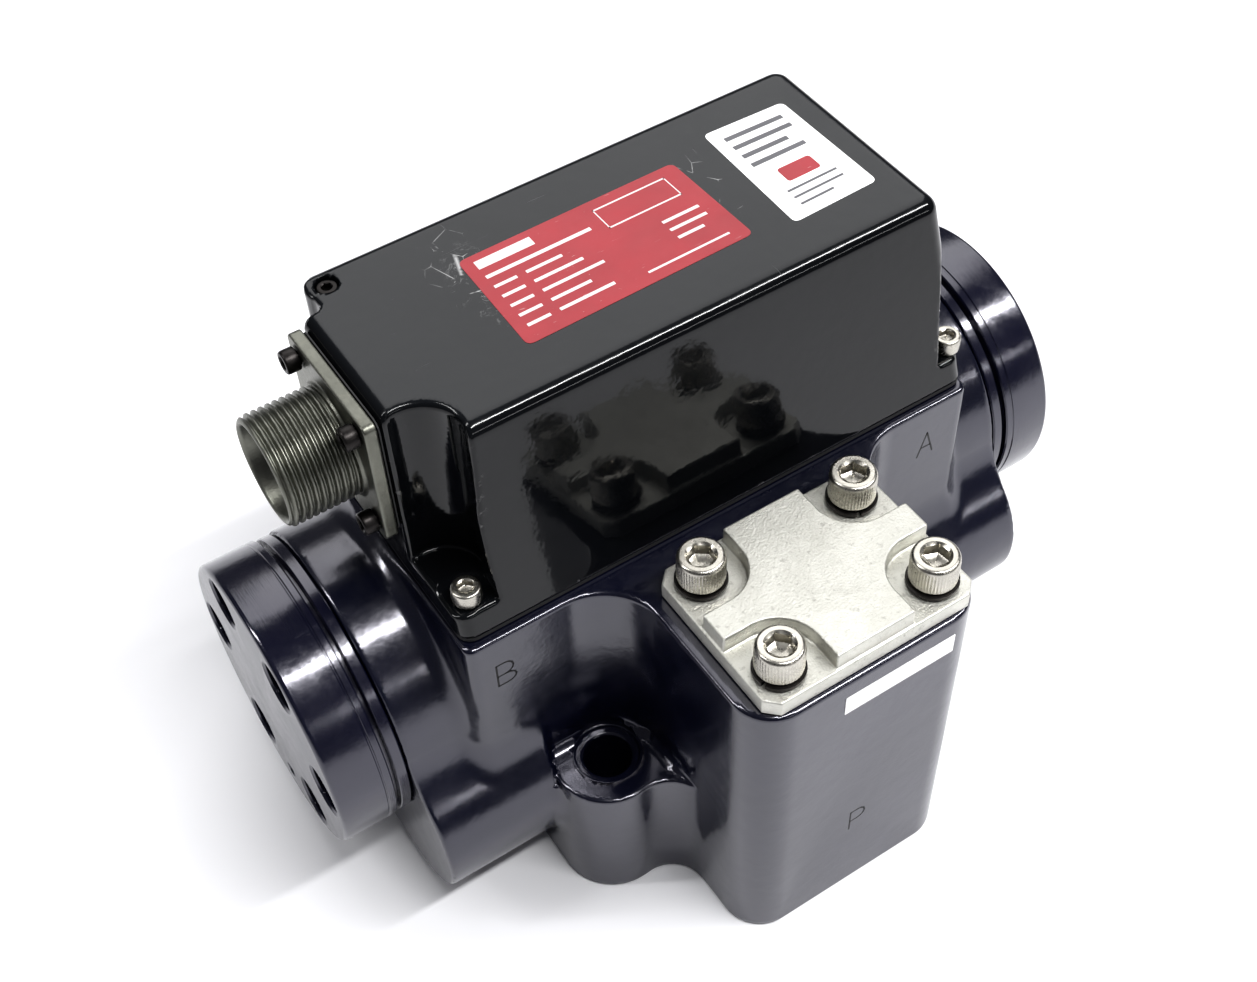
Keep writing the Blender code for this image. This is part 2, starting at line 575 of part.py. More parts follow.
def build_cover():
    h = COVER_Z1 - COVER_Z0
    edge = 2.6
    bm = bmesh.new()
    rings = []

    def ring(level, z, inset=0.0):
        pts = cover_outline(level)
        cx = sum(p[0] for p in pts) / len(pts)
        out = []
        for x, y in pts:
            vx = x + (inset if x < cx else -inset)
            vy = y + (inset if y < 0 else -inset)
            out.append(bm.verts.new((vx * MM, vy * MM, z * MM)))
        return out
    rings.append(ring(0, COVER_Z0))
    for a in range(0, 91, 30):
        t = math.radians(a)
        z = COVER_Z1 - edge + edge * math.sin(t)
        rings.append(ring((z - COVER_Z0) / h, z, edge * (1 - math.cos(t))))
    bm.faces.new(rings[0])
    bm.faces.new(rings[-1])
    for a, b in zip(rings[:-1], rings[1:]):
        m = len(a)
        for i in range(m):
            bm.faces.new((a[i], a[(i + 1) % m], b[(i + 1) % m], b[i]))
    cover = make("motor_cover", bm)
    cuts = []
    # screw pockets at the four corners: they narrow upwards and run out on the drafted faces
    for sx in (-1, 1):
        for sy in (-1, 1):
            cx, cy = COVER_CX + sx * COVER_SCREW_X, sy * COVER_SCREW_Y
            cuts.append(loft("pocket", arc(cx, cy, 5.6, 3, 348, 23),
                             arc(cx - sx * 1.2, cy - sy * 0.6, 1.4, 3, 348, 23), COVER_PAD_Z, 119.0))
            cuts.append(cyl("sh", 1.95, COVER_Z0 - 1, COVER_PAD_Z + 1, 12, (cx, cy, 0)))
            # open the corner outside the screw
            ox = sorted((cx + sx * 0.9, cx + sx * 12.0))
            oy = sorted((cy + sy * 0.9, cy + sy * 12.0))
            cuts.append(box("corner", (ox[0], oy[0], COVER_PAD_Z + 0.01), (ox[1], oy[1], 112.0)))
    # reliefs beside the connector flange: a round one in front that runs to the top ...
    cuts.append(cyl("relief", 8.2, COVER_PAD_Z + 0.02, COVER_Z1 + 2, 30, (-57.3, -22.6, 0)))
    # ... and one behind that leaves a corner boss for the plug
    px, py, pr = PLUG_X, PLUG_Y, 4.3
    out = [(-64.0, 15.7), (-57.6, 15.7)]
    out += arc(-57.6, 17.3, 1.6, -90, -20, 3)
    out += arc(px, py, pr, 212, 118, 8)
    out += [(px - 1.2, 30.0), (-64.0, 30.0)]
    cuts.append(prism("relief", out, 96.0, COVER_Z1 + 2))
    bool_op(cover, cuts)
    # hollow inside
    lower = rounded([(-46.0, -28.5), (55.5, -28.5), (55.5, 28.5), (-46.0, 28.5)], 12.0, 5)
    upper = rounded([(-46.0, -21.5), (50.5, -21.5), (50.5, 21.5), (-46.0, 21.5)], 12.0, 5)
    hollow = loft("hollow", lower, upper, COVER_Z0 - 1, COVER_Z1 - 4.0)
    conn = cyl("c", 10.0, -70, -44, 40, (0, CONN_Y, CONN_Z), "x")
    plug = cyl("p", 2.35, COVER_Z1 - 3.0, COVER_Z1 + 1, 20, (PLUG_X, PLUG_Y, 0))
    posts = []
    bool_op(cover, [hollow, conn, plug])
    for sy in (-1, 1):
        for sz in (-1, 1):
            posts.append(cyl("t", 1.3, -66, -55.0, 16,
                             (0, CONN_Y + sy * CONN_BOLT, CONN_Z + sz * CONN_BOLT), "x"))
    bool_op(cover, posts)
    return finish(cover, M_COVER)


def build_gasket():
    out = rounded([(-59.8, -33.3), (60.6, -33.3), (60.6, 33.3), (-59.8, 33.3)], 3.0, 5)
    g = prism("cover_gasket", out, BODY_TOP + GAP, COVER_Z0 - GAP)
    inner = rounded([(-54.0, -27.5), (54.5, -27.5), (54.5, 27.5), (-54.0, 27.5)], 12.0, 5)
    cuts = [prism("i", inner, 70, 90)]
    for sx in (-1, 1):
        for sy in (-1, 1):
            cuts.append(cyl("h", 1.95, 70, 90, 12, (COVER_CX + sx * COVER_SCREW_X, sy * COVER_SCREW_Y, 0)))
    bool_op(g, cuts)
    return finish(g, M_RUBBER)


# ---------------------------------------------------------------- filter cover
def build_filter():
    cx, cy = FILTER_CX, FILTER_CY
    z0, z1, z2 = BODY_TOP + GAP, 85.2, 89.0
    ox, oy = 24.3, 18.7
    ch = 2.6
    low = []
    for sx, sy in ((1, 1), (-1, 1), (-1, -1), (1, -1)):
        run = [(cx + sx * ox, cy + sy * (oy - ch)), (cx + sx * (ox - ch), cy + sy * oy)]
        low += run if sx * sy > 0 else run[::-1]
    plate = prism("filter_cover", low, z0, z1)
    hx, hy = 23.7, 18.0   # reach of the raised cross
    nr = 8.9              # notch about each bolt
    bx, by = FILTER_BOLT_X, FILTER_BOLT_Y
    pts = []
    for sx, sy in ((1, 1), (-1, 1), (-1, -1), (1, -1)):
        px, py = cx + sx * bx, cy + sy * by
        run = [(cx + sx * hx, py - sy * nr)]
        run += [(px + sx * nr * math.cos(t), py + sy * nr * math.sin(t))
                for t in [math.radians(-90 - 90 * i / 8) for i in range(9)]]
        run += [(px - sx * nr, cy + sy * hy)]
        pts += run if sx * sy > 0 else run[::-1]
    top = prism("top", pts, z1 - 1.0, z2)
    bool_op(plate, [top], "UNION")
    cuts = []
    for sx in (-1, 1):
        for sy in (-1, 1):
            cuts.append(cyl("h", 3.4, z0 - 2, z2 + 2, 20, (cx + sx * bx, cy + sy * by, 0)))
    bool_op(plate, cuts)
    finish(plate, M_PLATE)

    # face seal in the mouth of the filter bore: sits in a shallow step under the plate
    ring = turned("filter_oring", torus_profile(9.9, 0.8, 5), 20, (cx, cy, BODY_TOP - 0.95))
    finish(ring, M_RUBBER)
    el = turned("filter_element", [(4.0, 0.0), (8.6, 0.0), (8.6, 2.5), (7.6, 3.0), (7.6, 52.0), (8.6, 52.5),
                                   (8.6, 55.0), (4.0, 55.0)], 20, (cx, cy, 20.0))
    finish(el, M_FILTER)

    i = 0
    for sy in (-1, 1):
        for sx in (-1, 1):
            i += 1
            c = (cx + sx * bx, cy + sy * by, z1)
            w = turned("lock_washer_%d" % i, [(3.5, GAP), (5.1, GAP), (5.1, GAP + 1.2), (3.5, GAP + 1.2)], 20, c)
            finish(w, M_DARK)
            socket_screw("filter_screw_%d" % i, 4.76, 6.35, 3.0, 16.0, 4.9,
                         (c[0], c[1], z1 + 2 * GAP + 1.2), "z", False, M_STEEL, segs=18)
    return plate


# ---------------------------------------------------------------- connector
def build_connector():
    x0 = CONN_X
    # flange and threaded shell
    fl = prism("connector_shell",
               rounded([(-FLANGE_HALF, -FLANGE_HALF), (FLANGE_HALF, -FLANGE_HALF),
                        (FLANGE_HALF, FLANGE_HALF), (-FLANGE_HALF, FLANGE_HALF)], 2.2, 4), -0.9, -3.5, "x")
    # inside of the shell, rim, thread crests as rings, then the plain neck
    prof = [(8.6, 1.5), (8.6, -15.6), (9.9, -16.6), (9.9, -18.6), (10.5, -18.6)]
    n = 7
    pitch = 1.6
    xs = -18.1
    for k in range(n):
        a = xs + k * pitch
        prof += [(11.1, a), (11.1, a + 0.4), (10.4, a + 0.95)]
    e = xs + n * pitch
    prof += [(10.9, e), (10.9, -2.0), (9.7, -2.0), (9.7, 1.5)]
    sh = turned("sh", prof, 28, (0, 0, 0), "x")
    bool_op(fl, [sh], "UNION")
    cuts = []
    for sy in (-1, 1):
        for sz in (-1, 1):
            cuts.append(cyl("h", 1.55, -6, 1, 16, (0, sy * CONN_BOLT, sz * CONN_BOLT), "x"))
    cuts.append(cyl("b", 9.2, -30, 5, 28, (0, 0, 0), "x"))
    bool_op(fl, cuts)
    fl.location = Vector((x0, CONN_Y, CONN_Z)) * MM
    finish(fl, M_CONN)

    g = prism("connector_gasket",
              rounded([(-14.6, -14.6), (14.6, -14.6), (14.6, 14.6), (-14.6, 14.6)], 2.0, 3), -0.6, -0.3, "x")
    cuts = [cyl("b", 11.6, -5, 5, 24, (0, 0, 0), "x")]
    for sy in (-1, 1):
        for sz in (-1, 1):
            cuts.append(cyl("h", 1.6, -5, 1, 12, (0, sy * CONN_BOLT, sz * CONN_BOLT), "x"))
    bool_op(g, cuts)
    g.location = Vector((x0, CONN_Y, CONN_Z)) * MM
    finish(g, M_RUBBER)

    ins = cyl("connector_insert", 8.85, -8.0, 4.5, 24, (0, 0, 0), "x")
    adds = []
    for k in range(4):
        a = math.radians(45 + 90 * k)
        adds.append(turned("pin", [(0, -14.6), (0.5, -14.4), (0.8, -13.9), (0.8, 7.5), (0, 7.5)], 8,
                           (0, 4.4 * math.cos(a), 4.4 * math.sin(a)), "x"))
    bool_op(ins, adds, "UNION")
    ins.location = Vector((x0, CONN_Y, CONN_Z)) * MM
    finish(ins, M_INSERT)

    i = 0
    for sz in (1, -1):
        for sy in (-1, 1):
            i += 1
            socket_screw("connector_screw_%d" % i, 2.33, 2.8, 1.15, 7.0, 2.3,
                         (x0 - 3.5 - GAP, CONN_Y + sy * CONN_BOLT, CONN_Z + sz * CONN_BOLT), "x", True,
                         M_DARK, chamfer=0.25, segs=12)


# ---------------------------------------------------------------- small pieces
def build_small():
    i = 0
    for sy in (-1, 1):
        for sx in (-1, 1):
            i += 1
            socket_screw("cover_screw_%d" % i, 2.95, 3.4, 1.6, 16.0, 2.8,
                         (COVER_CX + sx * COVER_SCREW_X, sy * COVER_SCREW_Y, COVER_PAD_Z + GAP), "z", False,
                         M_STEEL, chamfer=0.4, segs=14)
    p = socket_screw("cover_plug", 2.05, 1.6, 1.2, 0.3, 1.8, (PLUG_X, PLUG_Y, COVER_Z1 - 2.4), "z", False, M_DARK,
                     chamfer=0.2, segs=16)
    for nm, x, y in (("a", PORT_CIRCLE, 0), ("b", -PORT_CIRCLE, 0), ("p", 0, PORT_CIRCLE), ("t", 0, -PORT_CIRCLE)):
        r = turned("port_oring_" + nm, torus_profile(9.3, 0.85, 5), 20, (x, y, 0.9))
        finish(r, M_RUBBER)


build_body()
build_cap("left")
build_cap("right")
build_sleeve()
build_spool()
build_pilot()
build_cover()
build_gasket()
build_filter()
build_connector()
build_small()
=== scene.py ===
# Looks of a two-stage electro-hydraulic servo valve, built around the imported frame.
import math

import bmesh
import bpy
import numpy as np
from mathutils import Matrix, Vector


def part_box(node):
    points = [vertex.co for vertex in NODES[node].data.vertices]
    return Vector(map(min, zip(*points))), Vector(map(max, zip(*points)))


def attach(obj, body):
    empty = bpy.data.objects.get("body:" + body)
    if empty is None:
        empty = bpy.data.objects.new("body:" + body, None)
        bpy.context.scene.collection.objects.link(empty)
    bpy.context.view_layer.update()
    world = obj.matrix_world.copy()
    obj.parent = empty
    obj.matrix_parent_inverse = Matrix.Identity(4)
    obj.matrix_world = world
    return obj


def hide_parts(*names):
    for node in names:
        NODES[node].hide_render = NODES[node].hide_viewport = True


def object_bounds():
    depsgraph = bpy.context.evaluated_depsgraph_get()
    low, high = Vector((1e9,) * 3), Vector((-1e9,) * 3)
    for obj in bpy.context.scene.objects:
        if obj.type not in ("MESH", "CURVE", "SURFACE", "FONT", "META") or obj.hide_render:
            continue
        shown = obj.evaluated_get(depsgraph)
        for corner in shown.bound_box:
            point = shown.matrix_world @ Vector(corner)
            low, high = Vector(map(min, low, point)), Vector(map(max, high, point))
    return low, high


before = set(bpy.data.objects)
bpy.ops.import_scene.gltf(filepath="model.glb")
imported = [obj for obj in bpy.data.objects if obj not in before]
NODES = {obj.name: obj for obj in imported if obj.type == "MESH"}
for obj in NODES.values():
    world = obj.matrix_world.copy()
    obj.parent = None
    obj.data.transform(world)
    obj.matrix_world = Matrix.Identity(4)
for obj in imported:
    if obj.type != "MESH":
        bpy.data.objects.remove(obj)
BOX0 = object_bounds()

MM = 0.001
RNG = np.random.default_rng(7)

# ---------------------------------------------------------------- positions taken from the frame (mm)


def mm_box(name):
    lo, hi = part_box(name)
    return np.array(lo) / MM, np.array(hi) / MM


B_LO, B_HI = mm_box("valve_body")
C_LO, C_HI = mm_box("motor_cover")
BODY_TOP = B_HI[2]
HALF_X = B_HI[0]
BLOCK_Y = B_LO[1]
SPOOL_Z = float(np.mean([v[2] for v in mm_box("spool")]))
LIFT = 0.15                     # room kept above the cover for the labels
COVER_TOP = C_HI[2] - LIFT


# ---------------------------------------------------------------- node helpers
def new_mat(name):
    m = bpy.data.materials.new(name)
    m.use_nodes = True
    nt = m.node_tree
    return m, nt, nt.nodes["Principled BSDF"]


class N:
    """Small helper to write node trees briefly."""

    def __init__(self, nt):
        self.nt = nt

    def add(self, kind, **kw):
        n = self.nt.nodes.new(kind)
        for k, v in kw.items():
            setattr(n, k, v)
        return n

    def link(self, a, b):
        self.nt.links.new(a, b)

    def coords(self):
        return self.add("ShaderNodeTexCoord").outputs["Object"]

    def mapping(self, src, scale=(1, 1, 1), loc=(0, 0, 0), rot=(0, 0, 0)):
        m = self.add("ShaderNodeMapping")
        m.inputs["Scale"].default_value = scale
        m.inputs["Location"].default_value = loc
        m.inputs["Rotation"].default_value = rot
        self.link(src, m.inputs["Vector"])
        return m.outputs["Vector"]

    def noise(self, vec, scale, detail=4, rough=0.5, dist=0.0):
        n = self.add("ShaderNodeTexNoise")
        n.inputs["Scale"].default_value = scale
        n.inputs["Detail"].default_value = detail
        n.inputs["Roughness"].default_value = rough
        n.inputs["Distortion"].default_value = dist
        self.link(vec, n.inputs["Vector"])
        return n.outputs["Fac"]

    def voronoi(self, vec, scale, feature="F1"):
        n = self.add("ShaderNodeTexVoronoi", feature=feature)
        n.inputs["Scale"].default_value = scale
        self.link(vec, n.inputs["Vector"])
        return n.outputs["Distance"]

    def ramp(self, src, stops, interp="LINEAR"):
        r = self.add("ShaderNodeValToRGB")
        r.color_ramp.interpolation = interp
        el = r.color_ramp.elements
        while len(el) < len(stops):
            el.new(0.5)
        for e, (p, c) in zip(el, stops):
            e.position = p
            e.color = (c, c, c, 1) if not hasattr(c, "__len__") else (*c, 1)
        self.link(src, r.inputs["Fac"])
        return r.outputs["Color"]

    def math(self, op, a, b=0.0, c=0.0, clamp=False):
        n = self.add("ShaderNodeMath", operation=op, use_clamp=clamp)
        for i, v in enumerate((a, b, c)):
            if hasattr(v, "is_output") or isinstance(v, bpy.types.NodeSocket):
                self.link(v, n.inputs[i])
            else:
                n.inputs[i].default_value = v
        return n.outputs[0]

    def mix(self, fac, a, b):
        n = self.add("ShaderNodeMix", data_type="RGBA")
        if isinstance(fac, bpy.types.NodeSocket):
            self.link(fac, n.inputs[0])
        else:
            n.inputs[0].default_value = fac
        for s, v in ((n.inputs[6], a), (n.inputs[7], b)):
            if isinstance(v, bpy.types.NodeSocket):
                self.link(v, s)
            else:
                s.default_value = (*v, 1)
        return n.outputs[2]

    def sep(self, vec):
        n = self.add("ShaderNodeSeparateXYZ")
        self.link(vec, n.inputs[0])
        return n.outputs

    def bump(self, height, strength, dist, normal=None):
        b = self.add("ShaderNodeBump")
        b.inputs["Strength"].default_value = strength
        b.inputs["Distance"].default_value = dist
        self.link(height, b.inputs["Height"])
        if normal is not None:
            self.link(normal, b.inputs["Normal"])
        return b.outputs["Normal"]


def edge_attr(n, name="edge"):
    a = n.add("ShaderNodeAttribute", attribute_name=name)
    return a.outputs["Fac"]


# ---------------------------------------------------------------- materials
def mat_anodised(name="anodised_black", tint=(0.0030, 0.0040, 0.0125), rough=0.17, turned=False, edges=False):
    m, nt, bs = new_mat(name)
    n = N(nt)
    co = n.coords()
    cloud = n.noise(co, 22, 3, 0.5)
    fine = n.noise(co, 900, 3, 0.6)
    col = n.mix(n.ramp(cloud, [(0.35, 0.0), (0.7, 1.0)]), tuple(c * 0.78 for c in tint),
                (tint[0] * 1.35, tint[1] * 1.2, tint[2] * 1.3))
    speck = n.ramp(n.noise(co, 2600, 2, 0.5), [(0.74, 0.0), (0.79, 1.0)])
    col = n.mix(n.math("MULTIPLY", speck, 0.25), col, (0.12, 0.11, 0.13))
    r = n.math("MULTIPLY_ADD", fine, 0.07, rough - 0.035)
    r = n.math("MULTIPLY_ADD", n.ramp(n.noise(co, 60, 5, 0.65, 0.6), [(0.45, 0.0), (0.8, 1.0)]), 0.12, r)
    h = n.math("MULTIPLY_ADD", n.noise(co, 240, 2, 0.5), 1.0, n.math("MULTIPLY", fine, 0.25))
    if edges:
        wear = n.math("MULTIPLY", edge_attr(n), n.ramp(n.noise(co, 130, 4, 0.6), [(0.50, 0.0), (0.68, 1.0)]))
        col = n.mix(n.math("MULTIPLY", wear, 0.55, clamp=True), col, (0.30, 0.28, 0.29))
    if turned:
        x = n.sep(co)
        lathe = n.noise(n.mapping(co, (1, 0.02, 0.02)), 5200, 2, 0.6)
        h = n.math("MULTIPLY_ADD", lathe, 0.55, h)
    nt.links.new(col, bs.inputs["Base Color"])
    nt.links.new(r, bs.inputs["Roughness"])
    nt.links.new(n.bump(h, 0.10, 0.0006), bs.inputs["Normal"])
    bs.inputs["Metallic"].default_value = 0.0
    bs.inputs["IOR"].default_value = 1.85
    bs.inputs["Specular Tint"].default_value = (0.93, 0.92, 1.0, 1)
    return m


def mat_paint(name="gloss_black_paint"):
    m, nt, bs = new_mat(name)
    n = N(nt)
    co = n.coords()
    xyz = n.sep(co)
    cloud = n.noise(co, 30, 4, 0.6)
    base = n.mix(n.ramp(cloud, [(0.35, 0.0), (0.7, 1.0)]), (0.0022, 0.0026, 0.0034), (0.0048, 0.0054, 0.0066))
    # the top is rougher and scuffed, the sides stay glossy; the top's lighter base colour is painted light, and the
    # darker sides are painted shade
    top = n.ramp(n.math("MULTIPLY", xyz[2], 1 / 0.128), [(0.9945, 0.0), (0.9985, 1.0)])
    base = n.mix(n.math("MULTIPLY", top, 0.65), base, (0.0098, 0.0112, 0.0135))
    # fine scratches: stretched noise in two directions
    s1 = n.ramp(n.noise(n.mapping(co, (0.35, 7, 1), rot=(0, 0, 0.5)), 150, 2, 0.5, 0.2), [(0.72, 0.0), (0.76, 1.0)])
    s2 = n.ramp(n.noise(n.mapping(co, (5, 0.4, 1), rot=(0, 0, -0.35)), 170, 2, 0.5, 0.3), [(0.74, 0.0), (0.78, 1.0)])
    zone = n.ramp(n.noise(co, 26, 3, 0.6), [(0.50, 0.0), (0.62, 1.0)])
    scr = n.math("MULTIPLY", n.math("ADD", s1, s2, clamp=True), zone)
    scr = n.math("MULTIPLY", scr, n.math("MULTIPLY_ADD", top, 0.75, 0.06))

    def patch(cx, cy, rx, ry, power=1.0):
        dx = n.math("MULTIPLY", n.math("SUBTRACT", xyz[0], cx * MM), 1 / (rx * MM))
        dy = n.math("MULTIPLY", n.math("SUBTRACT", xyz[1], cy * MM), 1 / (ry * MM))
        d = n.math("SQRT", n.math("ADD", n.math("MULTIPLY", dx, dx), n.math("MULTIPLY", dy, dy)))
        return n.math("SUBTRACT", 1.0, d, clamp=True)
    # pale scuffs at the ends of the large label and a chip near the connector end
    veins = n.ramp(n.voronoi(n.mapping(co, (1.0, 0.7, 1), rot=(0, 0, 0.3)), 210, "DISTANCE_TO_EDGE"), [(0.0, 1.0), (0.022, 0.0)])
    veins = n.math("MULTIPLY", veins, n.ramp(n.noise(co, 190, 3, 0.6), [(0.48, 0.0), (0.56, 1.0)]))
    sc = n.math("MULTIPLY", n.ramp(patch(-29, 9, 8, 15), [(0.0, 0.0), (0.5, 1.0)]), veins)
    sc2 = n.math("MULTIPLY", n.ramp(patch(21, 3, 5, 11), [(0.0, 0.0), (0.5, 1.0)]), veins)
    smear = n.math("MULTIPLY", n.ramp(patch(-28, 4, 7, 14), [(0.0, 0.0), (0.6, 1.0)]),
                   n.ramp(n.noise(co, 330, 5, 0.75, 1.2), [(0.55, 0.0), (0.72, 1.0)]))
    chip = n.ramp(n.math("MULTIPLY_ADD", n.noise(co, 700, 3, 0.6), 0.7, patch(-49, 25.0, 2.2, 1.0)), [(0.72, 0.0), (0.8, 1.0)])
    marks = n.math("ADD", n.math("ADD", n.math("MULTIPLY", sc, 0.8), n.math("MULTIPLY", sc2, 0.7), clamp=True),
                   n.math("MULTIPLY", smear, 0.6), clamp=True)
    marks = n.math("MULTIPLY", marks, top)
    col = n.mix(n.math("MULTIPLY", scr, 0.16), base, (0.42, 0.43, 0.44))
    col = n.mix(marks, col, (0.62, 0.62, 0.62))
    wear = n.math("MULTIPLY", edge_attr(n), n.ramp(n.noise(co, 300, 4, 0.65), [(0.60, 0.0), (0.70, 1.0)]))
    col = n.mix(n.math("MULTIPLY", wear, 0.5), col, (0.35, 0.35, 0.35))
    rough = n.math("MULTIPLY_ADD", top, 0.17, 0.065)
    rough = n.math("MULTIPLY_ADD", n.ramp(n.noise(co, 75, 5, 0.7, 0.5), [(0.42, 0.0), (0.75, 1.0)]), 0.06, rough)
    rough = n.math("ADD", rough, n.math("MULTIPLY", n.math("ADD", marks, scr, clamp=True), 0.35), clamp=True)
    peel = n.noise(co, 330, 2, 0.5)
    nt.links.new(col, bs.inputs["Base Color"])
    nt.links.new(rough, bs.inputs["Roughness"])
    nt.links.new(n.bump(peel, 0.055, 0.0008), bs.inputs["Normal"])
    bs.inputs["IOR"].default_value = 1.42
    return m


def mat_metal(name, rgb, rough, spread=0.08, grain=900, bump=0.12, mottle=0.2, stain=None, scale=(1, 1, 1)):
    m, nt, bs = new_mat(name)
    n = N(nt)
    co = n.mapping(n.coords(), scale)
    big = n.noise(n.coords(), 120, 5, 0.65, 0.4)
    col = n.mix(n.ramp(big, [(0.3, 0.0), (0.75, 1.0)]), tuple(c * (1 - mottle) for c in rgb),
                tuple(min(c * (1 + mottle * 0.6), 1) for c in rgb))
    if stain:
        st = n.ramp(n.noise(n.coords(), 420, 6, 0.75, 1.0), [(0.56, 0.0), (0.75, 1.0)])
        col = n.mix(n.math("MULTIPLY", st, 0.45), col, stain)
    fine = n.noise(co, grain, 3, 0.6)
    r = n.math("MULTIPLY_ADD", fine, spread, rough - spread / 2)
    r = n.math("MULTIPLY_ADD", big, spread * 0.8, r)
    nt.links.new(col, bs.inputs["Base Color"])
    nt.links.new(r, bs.inputs["Roughness"])
    nt.links.new(n.bump(fine, bump, 0.0003), bs.inputs["Normal"])
    bs.inputs["Metallic"].default_value = 1.0
    return m


def mat_plate(name="blasted_stainless"):
    m, nt, bs = new_mat(name)
    n = N(nt)
    co = n.coords()
    big = n.noise(co, 90, 6, 0.7, 0.8)
    blot = n.noise(co, 260, 5, 0.7, 0.3)
    col = n.mix(n.ramp(big, [(0.3, 0.0), (0.72, 1.0)]), (0.55, 0.545, 0.50), (0.68, 0.675, 0.625))
    col = n.mix(n.math("MULTIPLY", n.ramp(blot, [(0.5, 0.0), (0.7, 1.0)]), 0.35), col, (0.74, 0.735, 0.69))
    col = n.mix(n.math("MULTIPLY", n.ramp(n.noise(co, 700, 3, 0.6), [(0.60, 0.0), (0.70, 1.0)]), 0.35), col, (0.20, 0.19, 0.17))
    grain = n.noise(co, 1900, 3, 0.65)
    vor = n.voronoi(co, 2100)
    h = n.math("ADD", n.math("MULTIPLY", vor, 0.7), grain)
    nt.links.new(col, bs.inputs["Base Color"])
    nt.links.new(n.math("MULTIPLY_ADD", blot, 0.16, 0.40), bs.inputs["Roughness"])
    nt.links.new(n.bump(h, 0.42, 0.00022), bs.inputs["Normal"])
    bs.inputs["Metallic"].default_value = 0.88
    return m


def mat_dielectric(name, rgb, rough, grain=800, bump=0.15, mottle=0.25):
    m, nt, bs = new_mat(name)
    n = N(nt)
    co = n.coords()
    big = n.noise(co, 90, 5, 0.65)
    col = n.mix(n.ramp(big, [(0.3, 0.0), (0.75, 1.0)]), tuple(c * (1 - mottle) for c in rgb),
                tuple(min(c * (1 + mottle), 1) for c in rgb))
    fine = n.noise(co, grain, 4, 0.6)
    nt.links.new(col, bs.inputs["Base Color"])
    nt.links.new(n.math("MULTIPLY_ADD", fine, 0.12, rough - 0.06), bs.inputs["Roughness"])
    nt.links.new(n.bump(fine, bump, 0.0003), bs.inputs["Normal"])
    return m


def mat_label(name, rgb, scuff=(0.75, 0.72, 0.70), amount=0.6, rough=0.34, edge=(0.62, 0.60, 0.6)):
    m, nt, bs = new_mat(name)
    n = N(nt)
    co = n.coords()
    fade = n.noise(co, 55, 4, 0.6)
    col = n.mix(n.ramp(fade, [(0.3, 0.0), (0.75, 1.0)]), tuple(c * 0.86 for c in rgb), tuple(min(c * 1.12, 1) for c in rgb))
    s1 = n.ramp(n.noise(n.mapping(co, (0.5, 4, 1), rot=(0, 0, 0.6)), 330, 3, 0.6, 0.3), [(0.68, 0.0), (0.74, 1.0)])
    s2 = n.ramp(n.noise(co, 1300, 3, 0.6), [(0.72, 0.0), (0.78, 1.0)])
    zone = n.ramp(n.noise(co, 45, 2, 0.5), [(0.50, 0.0), (0.65, 1.0)])
    w = n.math("MULTIPLY", n.math("ADD", s1, n.math("MULTIPLY", s2, 0.6), clamp=True), zone)
    col = n.mix(n.math("MULTIPLY", w, amount), col, scuff)
    nt.links.new(col, bs.inputs["Base Color"])
    nt.links.new(n.math("MULTIPLY_ADD", n.noise(co, 300, 3, 0.6), 0.14, rough - 0.07), bs.inputs["Roughness"])
    nt.links.new(n.bump(n.noise(co, 420, 3, 0.6), 0.08, 0.0003), bs.inputs["Normal"])
    return m


M_BODY = mat_anodised("anodised_black_cast", edges=True)
M_CAP = mat_anodised("anodised_black_turned", tint=(0.0032, 0.0038, 0.0135), rough=0.15, turned=True)
M_PAINT = mat_paint()
M_PLATE = mat_plate()
M_STEEL = mat_metal("stainless_screw", (0.52, 0.50, 0.45), 0.24, 0.10, 1300, 0.10, 0.25, (0.17, 0.15, 0.12))
M_DARK = mat_metal("black_oxide", (0.040, 0.037, 0.036), 0.34, 0.12, 900, 0.18, 0.3)
M_CONN = mat_metal("olive_grey_plating", (0.18, 0.182, 0.158), 0.33, 0.14, 1100, 0.22, 0.28, (0.24, 0.23, 0.19))
M_INSERT = mat_dielectric("insert_moulding", (0.045, 0.036, 0.030), 0.45)
M_RUBBER = mat_dielectric("seal_rubber", (0.018, 0.018, 0.019), 0.62, 600, 0.3)
M_HARD = mat_metal("ground_steel", (0.56, 0.56, 0.57), 0.20, 0.06, 1500, 0.06, 0.08, scale=(0.08, 1, 1))
M_POLE = mat_metal("nickel_iron", (0.36, 0.37, 0.38), 0.36, 0.10, 900, 0.15, 0.12)
M_MAGNET = mat_metal("magnet_alloy", (0.13, 0.13, 0.14), 0.44, 0.10, 700, 0.3, 0.2)
M_COIL = mat_metal("enamelled_winding", (0.50, 0.18, 0.06), 0.38, 0.10, 600, 0.3, 0.25, scale=(8, 1, 1))
M_SINTER = mat_metal("sintered_bronze", (0.42, 0.33, 0.20), 0.60, 0.10, 2400, 0.8, 0.2)
M_ALLOY = mat_metal("machined_alloy", (0.52, 0.52, 0.53), 0.32, 0.10, 1100, 0.12, 0.12)
M_RED = mat_label("red_film", (0.30, 0.013, 0.022))
M_WHITE = mat_label("white_film", (0.93, 0.93, 0.93), (0.45, 0.45, 0.44), 0.35)
M_PRINT = mat_label("pale_print", (0.68, 0.62, 0.62), (0.38, 0.03, 0.04), 0.8, 0.4)
M_PRINT2 = mat_label("grey_print", (0.10, 0.10, 0.11), (0.5, 0.5, 0.5), 0.4, 0.4)
M_MARK = mat_dielectric("stamped_mark", (0.004, 0.004, 0.005), 0.55, 900, 0.2)
M_BARE = mat_metal("bare_alloy_edge", (0.52, 0.50, 0.46), 0.42, 0.12, 900, 0.25, 0.25)


